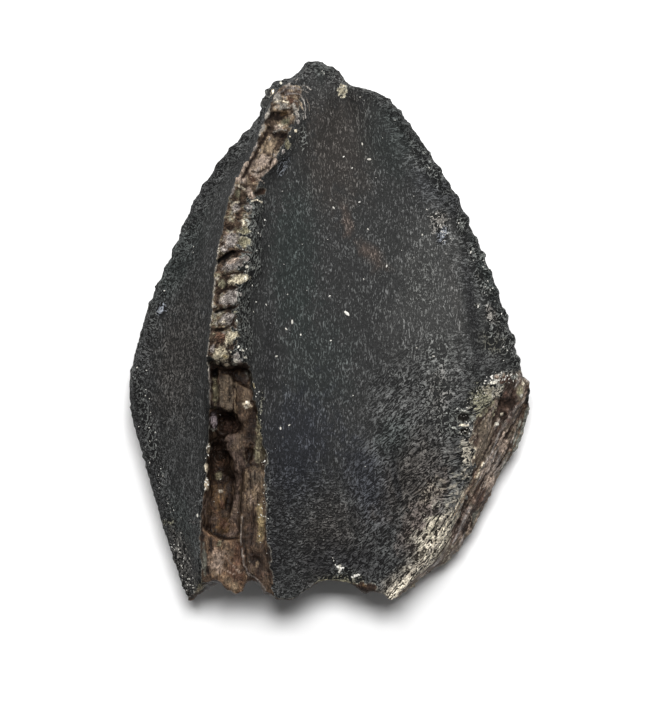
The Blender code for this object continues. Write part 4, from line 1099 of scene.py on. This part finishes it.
def paint_enamel(c):
    """Paints the enamel's blacks, and the pale crust and frost on its ridges."""
    x, y, crust, broad, middling, fine = c.x, c.y, c.crust, c.broad, c.middling, c.fine
    # Crust beside the broken side: cream ridges over dark grooves.
    brush(c.tint, crust, "cream")
    brush(c.tint, crust * 0.7 * smooth_step(0.1, 0.5, -broad - 0.6 * middling), "moss")
    brush(c.tint, crust * 0.7 * smooth_step(0.3, 0.7, -middling + 0.5 * fine), "lilac")
    c.low = fall(-15.0, -12.0, y)
    brush(c.shade, crust * c.low, "bark")
    gap = smooth_step(-11.5, -9.5, y) * fall(-6.5, -5.5, y)
    cover = 0.15 - 0.3 * gap + 0.75 * c.low + (0.75 - 0.3 * c.low) * c.crust_ridges
    cover = cover + 0.5 * middling + 0.4 * fine
    frost = np.maximum(crust * np.clip(cover, 0.0, 1.0), c.frayed * 0.75)
    for patch in FROSTS:
        strength, paint = patch[5:]
        cover = strength * fall(0.4, 1.25, spot(x, y, patch, c.ragged)) * c.marked
        speckle = 1 - 0.8 * c.bare * (c.crystals < 0.1)
        brush(c.tint, (cover > frost) * smooth_step(0.0, 0.2, cover) * speckle, paint)
        frost = np.maximum(frost, cover)
    rim_frost = fall(0.3, 1.9, c.kind.margin) * smooth_step(-0.35, 0.35, middling + broad)
    rim_frost *= 1 - 0.7 * smooth_step(12.0, 15.0, y)
    c.frost = np.maximum(frost, rim_frost * (0.22 + 0.42 * (x > 0)))
    for patch in SHADES:
        strength, paint = patch[5:]
        brush(c.shade, strength * fall(0.3, 1.3, spot(x, y, patch, c.ragged)), paint)

    # The finest wrinkles lie level in some more places, which only the material shows.
    right = smooth_step(5.0, 8.0, x) * smooth_step(-13.0, -10.0, y) * (y < 0.0)
    level = np.maximum(c.level, 0.45 * right)
    lower_left = fall(-12.0, -7.5, y) * fall(-1.5, 2.5, x) * smooth_step(-5.0, -4.0, x)
    level = np.maximum(level, 0.9 * lower_left)
    on_crust = smooth_step(0.1, 0.6, crust)
    c.level = level * (1 - on_crust) + on_crust * smooth_step(-14.0, -10.5, y)


def add_marks(c):
    """Carves and paints the blobs, strokes and creases, each at its own place."""
    x, y, points, middling, fine, top = c.x, c.y, c.points, c.middling, c.fine, c.kind.top
    for blob in BLOBS:
        reach = 1.9 * max(blob[2:4])
        near = np.flatnonzero((np.abs(x - blob[0]) < reach) & (np.abs(y - blob[1]) < reach) & (top > 0.5))
        out = spot(x[near], y[near], blob, 0.7 * c.ragged[near] + 0.3 * c.crystals[near])
        height, paint = blob[5:]
        # A pit is carved here, and the black, umber and maroon that pits are painted below is painted shade
        # in them.
        if height < 0:
            points[near, 2] += height * fall(0.2, 1.15, out)
        elif height < KNUCKLE_RISE:
            points[near, 2] += height * np.sqrt(np.maximum(0.0, 1 - out * out))
        else:
            # A ring of umber round a knuckle's foot: painted shade where it meets the stone.
            ring = smooth_step(0.85, 1.05, out) * fall(1.15, 1.45, out)
            brush(c.tint, 0.5 * ring * c.bare[near], "umber", near)
        # Blob paint stops short in the lumps' hollows, so that the painted shade there shows through.
        cover = fall(0.75, 1.1, out + 0.25 * (c.lumpy[near] < -0.25)) * c.painted[near]
        brush(c.tint, cover, paint, near)
        c.bare[near] = np.maximum(c.bare[near], cover)
    for corners, width, height, paint in STROKES + SIDE_STROKES:
        uneven = width * (1.0 + 0.9 * middling)
        away = away_from_line(x + 0.08 * fine, y + 0.08 * middling, corners) / np.maximum(uneven, 0.02)
        away = away + 0.6 * c.ragged + 10.0 * (top < 0.5)
        points[:, 2] += height * fall(0.3, 1.0, away)
        # The dark paint of a sunken stroke is painted shade in its crack.
        cover = fall(0.6, 1.1, away) * c.painted
        brush(c.tint, cover, paint)
        c.bare = np.maximum(c.bare, cover)
    for corners, width, height in CREASES:
        away = away_from_line(x + 0.1 * fine, y, corners) / width + 0.5 * c.ragged
        points[:, 2] += height * fall(0.2, 1.1, away) * top


def paint_light_shade_and_tone(c):
    """Paints shade into bare stone's hollows and light onto its lumps, and shifts its tone."""
    trough, bare = c.kind.trough, c.bare
    c.tint *= np.exp(0.55 * np.clip(c.lumpy, -1.0, 1.0) * bare - (0.15 + 0.2 * trough) * bare)[:, None]
    # Darker along the upper keel and paler on the lower crust.
    keel_and_crust_tone = 0.38 * c.keel * smooth_step(8.0, 9.0, c.y) - 0.38 * c.crust * c.low
    c.tint *= np.exp(0.9 * c.crystals * np.maximum(c.keel, c.fracture) - keel_and_crust_tone)[:, None]
    c.tint *= 1 - trough[:, None] * np.array((0.03, 0.09, 0.15))


def carve_and_paint(crown):
    """Carves the crown's points and stores its paint on them."""
    mesh = crown.data
    c = look_over(mesh)
    c.tint = np.tile(np.array(PAINTS["frost"]), (len(c.x), 1))
    c.shade = np.tile(np.array(PAINTS["enamel"]), (len(c.x), 1))
    for step in (lay_wrinkles, carve, paint_stone, paint_enamel, add_marks, paint_light_shade_and_tone):
        step(c)
    c.points[c.resting, 2] = 0.0
    c.points[:, 2] = np.maximum(c.points[:, 2], 0.0)
    write_points(mesh, c.points)

    masks = {
        "bare": c.bare, "grainy": np.maximum(c.keel * (1 - 0.6 * c.upper), 0.4 * c.fracture),
        "frost": c.frost, "glossy": c.kind.trough, "broken_side": c.fracture, "aslant": c.aslant,
        "level": c.level, "coarse": c.coarse, "crust": c.crust,
    }
    for name, values in masks.items():
        layer = mesh.attributes.new(name, "FLOAT", "POINT")
        layer.data.foreach_set("value", np.clip(values, 0.0, 1.0).astype(np.float32))
    for name, colours in (("tint", c.tint), ("shade", c.shade)):
        layer = mesh.attributes.new(name, "FLOAT_COLOR", "POINT")
        rgba = np.concatenate((np.clip(colours, 0.0, 0.9), np.ones((len(colours), 1))), axis=1)
        layer.data.foreach_set("color", rgba.ravel().astype(np.float32))


# The parts that the materials are put together from.


def place_node(tree, kind, inputs, **settings):
    """Adds a node. Its inputs are values, or the outputs of other nodes, which are linked to them."""
    node = tree.nodes.new(kind)
    for name, value in settings.items():
        setattr(node, name, value)
    for name, value in inputs.items():
        if isinstance(value, bpy.types.NodeSocket):
            tree.links.new(value, node.inputs[name])
        else:
            node.inputs[name].default_value = value
    return node


def math_node(tree, operation, *values, clamp=False):
    inputs = dict(enumerate(values))
    return place_node(tree, "ShaderNodeMath", inputs, operation=operation, use_clamp=clamp).outputs[0]


def product(tree, first, second, clamp=False):
    return math_node(tree, "MULTIPLY", first, second, clamp=clamp)


def total(tree, first, second):
    return math_node(tree, "ADD", first, second)


def rest(tree, share):
    """What a share leaves of one."""
    return math_node(tree, "SUBTRACT", 1.0, share)


def off_centre(tree, value):
    """A noise about zero."""
    return math_node(tree, "SUBTRACT", value, 0.5)


def cloud(tree, place, scale, detail, roughness=0.5, distortion=0.0):
    """Soft noise about a half, and its colour."""
    inputs = {
        "Vector": place, "Scale": scale, "Detail": detail, "Roughness": roughness, "Distortion": distortion,
    }
    return place_node(tree, "ShaderNodeTexNoise", inputs).outputs


def vector_math(tree, operation, first, second):
    inputs = {0: first, 1: second}
    return place_node(tree, "ShaderNodeVectorMath", inputs, operation=operation).outputs[0]


def ramp(tree, value, low, high):
    """0 below low, 1 above high, and a smooth rise between them."""
    inputs = {"Value": value, "From Min": low, "From Max": high}
    node = place_node(tree, "ShaderNodeMapRange", inputs, interpolation_type="SMOOTHSTEP")
    return node.outputs["Result"]


def between(tree, value, low, high):
    """A value from 0 to 1 brought to between low and high."""
    inputs = {"Value": value, "To Min": low, "To Max": high}
    return place_node(tree, "ShaderNodeMapRange", inputs).outputs[0]


def blend(tree, share, first, second):
    """Mixes two values."""
    return place_node(tree, "ShaderNodeMix", {0: share, 2: first, 3: second}).outputs[0]


def mix_colours(tree, share, first, second, how="MIX"):
    """Mixes two colours."""
    settings = {"data_type": "RGBA", "blend_type": how}
    return place_node(tree, "ShaderNodeMix", {0: share, 6: first, 7: second}, **settings).outputs[2]


def times(tree, colour, *factor):
    """A colour multiplied by one number, or by three."""
    red, green, blue = factor * (3 // len(factor))
    return mix_colours(tree, 1.0, colour, (red, green, blue, 1), "MULTIPLY")


def new_group(name, inputs, outputs):
    """A node group with float inputs at their first values, a Vector input, and float outputs."""
    group = bpy.data.node_groups.new(name, "ShaderNodeTree")
    group.interface.new_socket("Vector", in_out="INPUT", socket_type="NodeSocketVector")
    for label, value in inputs.items():
        socket = group.interface.new_socket(label, in_out="INPUT", socket_type="NodeSocketFloat")
        socket.default_value = value
    for label in outputs:
        group.interface.new_socket(label, in_out="OUTPUT", socket_type="NodeSocketFloat")
    start = group.nodes.new("NodeGroupInput").outputs
    end = group.nodes.new("NodeGroupOutput").inputs
    return group, start, end


def use_group(tree, group, place, **values):
    """Puts a group into a tree, at a place and with its own values, and gives its outputs."""
    return place_node(tree, "ShaderNodeGroup", {"Vector": place, **values}, node_tree=group).outputs


def drawn_out(tree, place, turn, width, length):
    """The place turned about Z and scaled, so that a pattern on it is drawn out along a direction."""
    inputs = {"Vector": place, "Angle": turn}
    aslant = place_node(tree, "ShaderNodeVectorRotate", inputs, rotation_type="Z_AXIS").outputs[0]
    size = place_node(tree, "ShaderNodeCombineXYZ", {"X": width, "Y": length, "Z": width}).outputs[0]
    return vector_math(tree, "DIVIDE", aslant, size)


def threads_group():
    """Winding ridges, drawn out along a direction in the plane of the face, with breaks in them."""
    values = {"Turn": 0.0, "Width": 0.3, "Length": 0.8, "Thinness": 10.0, "Gaps": 0.5}
    group, start, end = new_group("threads", values, ["Ridge"])
    place = drawn_out(group, start["Vector"], start["Turn"], start["Width"], start["Length"])
    field = cloud(group, place, scale=1.0, detail=2.0, roughness=0.55, distortion=0.8)[0]
    away = math_node(group, "ABSOLUTE", off_centre(group, field))
    ridge = math_node(group, "SUBTRACT", 1.0, product(group, away, start["Thinness"]), clamp=True)
    kept = ramp(group, cloud(group, place, scale=1.9, detail=1.0)[0], 0.36, 0.6)
    share = product(group, rest(group, kept), start["Gaps"])
    group.links.new(product(group, ridge, rest(group, share)), end["Ridge"])
    return group


def layers_group():
    """Thin layers cut across, which show as winding lines: 0 in a line and 1 between lines."""
    values = {"Turn": 0.0, "Width": 0.8, "Length": 1.6, "Layers": 6.0}
    group, start, end = new_group("layers", values, ["Between"])
    place = drawn_out(group, start["Vector"], start["Turn"], start["Width"], start["Length"])
    field = cloud(group, place, scale=1.0, detail=3.0, roughness=0.55, distortion=0.6)[0]
    steps = math_node(group, "FRACT", product(group, field, start["Layers"]))
    away = math_node(group, "ABSOLUTE", off_centre(group, steps))
    group.links.new(ramp(group, away, 0.08, 0.34), end["Between"])
    return group


def grit_group():
    """Small broken grains: their relief, and a shade of their own for each."""
    group, start, end = new_group("grit", {"Size": 0.2}, ["Relief", "Shade"])
    scaled = vector_math(group, "DIVIDE", start["Vector"], start["Size"])
    warp = cloud(group, scaled, scale=1.3, detail=2.0)["Color"]
    bent = vector_math(group, "ADD", warp, scaled)
    cells = place_node(group, "ShaderNodeTexVoronoi", {"Vector": bent, "Scale": 1.0})
    group.links.new(rest(group, cells.outputs["Distance"]), end["Relief"])
    channels = place_node(group, "ShaderNodeSeparateColor", {"Color": cells.outputs["Color"]})
    group.links.new(channels.outputs[0], end["Shade"])
    return group


def ragged_group():
    """A painted mask with its soft edge broken up."""
    group, start, end = new_group("ragged_edge", {"Mask": 0.0, "Size": 0.2, "Raggedness": 0.8}, ["Mask"])
    scaled = vector_math(group, "DIVIDE", start["Vector"], start["Size"])
    field = cloud(group, scaled, scale=1.0, detail=3.0, roughness=0.65)[0]
    moved = product(group, off_centre(group, field), start["Raggedness"])
    group.links.new(ramp(group, total(group, start["Mask"], moved), 0.42, 0.58), end["Mask"])
    return group


def in_millimetres(tree):
    """The place on the tooth, in millimetres."""
    place = place_node(tree, "ShaderNodeTexCoord", {}).outputs["Object"]
    return place_node(
        tree, "ShaderNodeVectorMath", {0: place, "Scale": 1 / MM}, operation="SCALE"
    ).outputs[0]


def attribute(tree, name, output="Fac"):
    return place_node(tree, "ShaderNodeAttribute", {}, attribute_name=name).outputs[output]


def fossil_finish(groups):
    """Black wrinkled enamel over brown fibrous dentine, with pale mineral crust."""
    material = bpy.data.materials.new("fossil_tooth")
    material.use_nodes = True
    tree = material.node_tree
    shader = tree.nodes["Principled BSDF"]
    place = in_millimetres(tree)
    masks = ("bare", "grainy", "frost", "glossy", "broken_side", "aslant", "level", "coarse", "crust")
    bare, grainy, frost, glossy, broken_side, aslant, level, coarse, crust = (
        attribute(tree, name) for name in masks
    )
    tint, shade = attribute(tree, "tint", "Color"), attribute(tree, "shade", "Color")
    dots = cloud(tree, place, scale=7.0, detail=2.0, roughness=0.7)[0]
    patches = cloud(tree, place, scale=0.8, detail=4.0, roughness=0.65)[0]
    mottle = cloud(tree, place, scale=4.5, detail=4.0, roughness=0.75)[0]

    def threads(turn, width, length, thinness, gaps):
        values = {"Turn": turn, "Width": width, "Length": length, "Thinness": thinness, "Gaps": gaps}
        return use_group(tree, groups["threads"], place, **values)["Ridge"]

    def ridges(degrees, width, length, thinness, gaps):
        return threads(math.radians(degrees), width, length, thinness, gaps)

    # Enamel: fine pale ridges on a black ground, broader and higher where it is coarse. The ridges'
    # pale is partly dust and partly painted light on them, and the darker ground in coarse and frosted
    # places is painted shade in the grooves.
    off_crust = rest(tree, crust)
    upright = blend(tree, coarse, ridges(0, 0.17, 0.62, 12.0, 1.0), ridges(8, 0.21, 0.4, 9.0, 0.5))
    leaning = ridges(46, 0.21, 0.6, 8.0, 0.25)
    levelled = ridges(84, 0.2, 0.5, 9.0, 0.4)
    ridge = blend(tree, level, blend(tree, aslant, upright, leaning), levelled)
    lacy = product(tree, ramp(tree, frost, 0.1, 0.4), off_crust)
    ridge = blend(tree, lacy, ridge, ridges(30, 0.34, 0.5, 11.0, 0.4))
    crust_lines = blend(tree, level, ridges(36, 0.28, 0.9, 7.0, 0.15), ridges(72, 0.29, 0.8, 7.0, 0.15))
    ridge = blend(tree, crust, ridge, crust_lines)

    # The ground darkens in coarse and frosted places: painted shade in the grooves between ridges.
    ground = mix_colours(tree, coarse, times(tree, shade, 0.6), times(tree, shade, 0.15))
    ground = mix_colours(tree, ramp(tree, dots, 0.4, 0.72), ground, shade)
    ground = mix_colours(tree, ramp(tree, frost, 0.1, 0.6), ground, times(tree, shade, 0.25))
    # The ridges' pale: partly dust, partly painted light on them.
    pale = mix_colours(tree, coarse, times(tree, shade, 4.6), times(tree, shade, 6.6))
    crusted = mix_colours(tree, ramp(tree, dots, 0.35, 0.6), times(tree, tint, 0.8), times(tree, tint, 1.5))
    uneven = between(tree, ramp(tree, dots, 0.42, 0.58), 0.8, 1.4)
    pale = mix_colours(tree, product(tree, frost, uneven, clamp=True), pale, crusted)

    # How much of the ground the ridges cover, and where crust covers it outright.
    strength = between(tree, ramp(tree, patches, 0.35, 0.68), 0.45, 1.0)
    cover = product(tree, ramp(tree, ridge, 0.25, 0.65), blend(tree, frost, strength, 1.0))
    solid = product(tree, ramp(tree, frost, 0.72, 0.95), off_crust)
    cover = math_node(tree, "MAXIMUM", cover, product(tree, solid, ramp(tree, dots, 0.36, 0.5)))
    black = mix_colours(tree, cover, ground, pale)

    # Bare dentine: fibres and thin layers, or crumbs.
    turn = between(tree, broken_side, 0.0, math.radians(SIDE_SLANT))
    along = drawn_out(tree, place, turn, width=0.17, length=1.3)
    fibres = cloud(tree, along, scale=1.0, detail=3.0, roughness=0.65)[0]
    values = {"Turn": turn, "Width": 0.9, "Length": 1.5, "Layers": 9.0}
    layers = use_group(tree, groups["layers"], place, **values)["Between"]
    grit = use_group(tree, groups["grit"], place, Size=0.15)
    dark_tint, pale_tint = times(tree, tint, 0.22, 0.19, 0.17), times(tree, tint, 2.3, 2.25, 2.15)
    stone = mix_colours(tree, ramp(tree, fibres, 0.34, 0.54), dark_tint, tint)
    stone = mix_colours(tree, ramp(tree, mottle, 0.5, 0.68), stone, pale_tint)
    stone = mix_colours(tree, between(tree, layers, 0.6, 0.0), stone, dark_tint)
    hairs = ramp(tree, threads(turn, 0.17, 1.2, 11.0, 0.6), 0.2, 0.8)
    stone = mix_colours(tree, product(tree, hairs, between(tree, glossy, 1.0, 0.25)), stone, pale_tint)
    needles = ridges(55, 0.15, 0.35, 8.0, 0.3)
    crumbs = mix_colours(tree, ramp(tree, grit["Shade"], 0.3, 1.0), dark_tint, tint)
    crumbs = mix_colours(tree, ramp(tree, needles, 0.2, 0.8), crumbs, pale_tint)
    stone = mix_colours(tree, product(tree, grainy, 0.85), stone, crumbs)

    bare = use_group(tree, groups["ragged_edge"], place, Mask=bare, Size=0.2)["Mask"]
    tree.links.new(mix_colours(tree, bare, black, stone), shader.inputs["Base Color"])

    polish = between(tree, ridge, 0.85, 0.5)
    dull, shiny = between(tree, mottle, 0.6, 0.9), between(tree, mottle, 0.3, 0.6)
    roughness = blend(tree, bare, polish, blend(tree, glossy, dull, shiny))
    tree.links.new(roughness, shader.inputs["Roughness"])
    shader.inputs["Specular IOR Level"].default_value = 0.16

    # Relief in millimetres.
    ridge_height = between(tree, math_node(tree, "MAXIMUM", coarse, frost), 0.04, 0.26)
    enamel_relief = total(tree, product(tree, ridge, ridge_height), product(tree, dots, 0.035))
    stone_relief = total(tree, product(tree, fibres, 0.06), product(tree, mottle, 0.09))
    stone_relief = total(tree, stone_relief, product(tree, layers, 0.02))
    grit_relief = product(tree, total(tree, grit["Relief"], needles), 0.07)
    stone_relief = blend(tree, grainy, stone_relief, grit_relief)
    relief = blend(tree, bare, enamel_relief, stone_relief)
    bump = place_node(tree, "ShaderNodeBump", {"Height": relief, "Distance": MM, "Strength": 1.0})
    tree.links.new(bump.outputs[0], shader.inputs["Normal"])
    return material


def sand_finish(groups):
    """Pale quartz and lime sand."""
    material = bpy.data.materials.new("pale_sand")
    material.use_nodes = True
    tree = material.node_tree
    shader = tree.nodes["Principled BSDF"]
    place = in_millimetres(tree)
    grit = use_group(tree, groups["grit"], place, Size=0.5)
    colour = mix_colours(tree, grit["Shade"], (0.72, 0.70, 0.65, 1), (0.45, 0.43, 0.38, 1))
    tree.links.new(colour, shader.inputs["Base Color"])
    shader.inputs["Roughness"].default_value = 0.5
    return material


def sand_grains(height_at):
    """Grains of sand stuck to the enamel, each an angular crystal of its own mesh."""
    rng = random.Random(SEED)
    bpy.ops.object.select_all(action="DESELECT")
    bpy.ops.mesh.primitive_ico_sphere_add(subdivisions=1, radius=1.0)
    first = bpy.context.active_object
    first.name = "sand_grains"
    with editing(first):
        bpy.ops.transform.resize(value=GRAIN_SHAPE)
    grains = []
    places = list(GRAINS)
    for _ in range(FINE_GRAINS):
        y = rng.uniform(*FINE_SPAN)
        x = rng.uniform(float(left_edge(y)) + FINE_INSETS[0], float(right_edge(y)) - FINE_INSETS[1])
        places.append((x, y, rng.uniform(*FINE_SIZES)))
    for corners, count, astray, size in TRAILS:
        for _ in range(count):
            at = rng.uniform(0, len(corners) - 1.001)
            (x0, y0), (x1, y1) = corners[int(at)], corners[int(at) + 1]
            x = x0 + (x1 - x0) * (at % 1.0) + rng.gauss(0.0, astray)
            y = y0 + (y1 - y0) * (at % 1.0) + rng.gauss(0.0, astray)
            places.append((x, y, size * rng.uniform(0.5, 1.4)))
    for x, y, size in places:
        if not left_edge(y) + BARE_EDGE < x < right_edge(y) - BARE_EDGE:
            continue
        grain = first.copy()
        grain.data = first.data.copy()
        bpy.context.scene.collection.objects.link(grain)
        turn = Matrix.Rotation(rng.uniform(0, math.tau), 4, "Z")
        tilt = Matrix.Rotation(rng.uniform(-0.5, 0.5), 4, "X")
        shift = Matrix.Translation((x, y, height_at(x, y) + 0.1 * size))
        stretch = Matrix.Diagonal((size * rng.uniform(0.9, 1.6), size, size, 1.0))
        for vert in grain.data.vertices:
            vert.co *= rng.uniform(0.65, 1.25)
        grain.data.transform(shift @ turn @ tilt @ stretch)
        grains.append(grain)
    bpy.data.objects.remove(first)
    grains[0].name = "sand_grains"
    return join(grains)


def in_metres(piece, material):
    """Brings a finished piece to metres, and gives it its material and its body."""
    piece.data.transform(Matrix.Scale(MM, 4))
    piece.data.materials.clear()
    piece.data.materials.append(material)
    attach(piece, "root")


def floor():
    bpy.ops.mesh.primitive_plane_add(size=4.0, location=(0, 0, -FLOOR_GAP * MM))
    plane = bpy.context.active_object
    plane.name = "floor"
    material = bpy.data.materials.new("pale_floor")
    material.use_nodes = True
    shader = material.node_tree.nodes["Principled BSDF"]
    shader.inputs["Base Color"].default_value = (0.9, 0.9, 0.9, 1)
    shader.inputs["Roughness"].default_value = 0.9
    shader.inputs["Specular IOR Level"].default_value = 0.0
    plane.data.materials.append(material)


def light(name, azimuth, elevation, watts, wide, tall, away=0.5):
    """A soft light that faces the tooth. Azimuth 0 is at +Y and 90 at +X, and lengths are in metres."""
    data = bpy.data.lights.new(name, "AREA")
    data.energy = watts
    data.shape = "RECTANGLE"
    data.size = wide
    data.size_y = tall
    a, e = math.radians(azimuth), math.radians(elevation)
    lamp = bpy.data.objects.new(name, data)
    lamp.location = Vector((math.sin(a) * math.cos(e), math.cos(a) * math.cos(e), math.sin(e))) * away
    lamp.rotation_euler = lamp.location.to_track_quat("Z", "Y").to_euler()
    bpy.context.scene.collection.objects.link(lamp)


def studio():
    """Plain soft light from high beyond the tip, a white surround, and the camera straight above."""
    scene = bpy.context.scene
    world = bpy.data.worlds.new("white_surround")
    world.use_nodes = True
    background = world.node_tree.nodes["Background"]
    background.inputs["Color"].default_value = (1, 1, 1, 1)
    background.inputs["Strength"].default_value = 0.13
    scene.world = world
    light("key", azimuth=0, elevation=77.5, watts=2.75, wide=0.16, tall=0.105)
    light("raking", azimuth=12, elevation=42, watts=1.1, wide=0.1, tall=0.1)
    camera = bpy.data.objects.new("camera", bpy.data.cameras.new("camera"))
    camera.location = Vector((*VIEW_MIDDLE, CAMERA_HEIGHT)) * MM
    camera.data.lens = FILM_SIDE * (CAMERA_HEIGHT - MARGIN_PLANE) / VIEW_TALL
    camera.data.sensor_width = FILM_SIDE
    camera.data.clip_start = 0.01
    camera.data.clip_end = 10.0
    scene.collection.objects.link(camera)
    scene.camera = camera
    scene.view_settings.view_transform = "Standard"


def main():
    crown = rough_out()
    set_face_sizes(crown)
    carve_and_paint(crown)
    grains = sand_grains(surface_height(crown))
    groups = {
        "threads": threads_group(), "layers": layers_group(),
        "grit": grit_group(), "ragged_edge": ragged_group(),
    }
    in_metres(crown, fossil_finish(groups))
    in_metres(grains, sand_finish(groups))
    take(crown)
    bpy.ops.object.shade_smooth()
    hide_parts("tooth")
    floor()
    studio()


main()
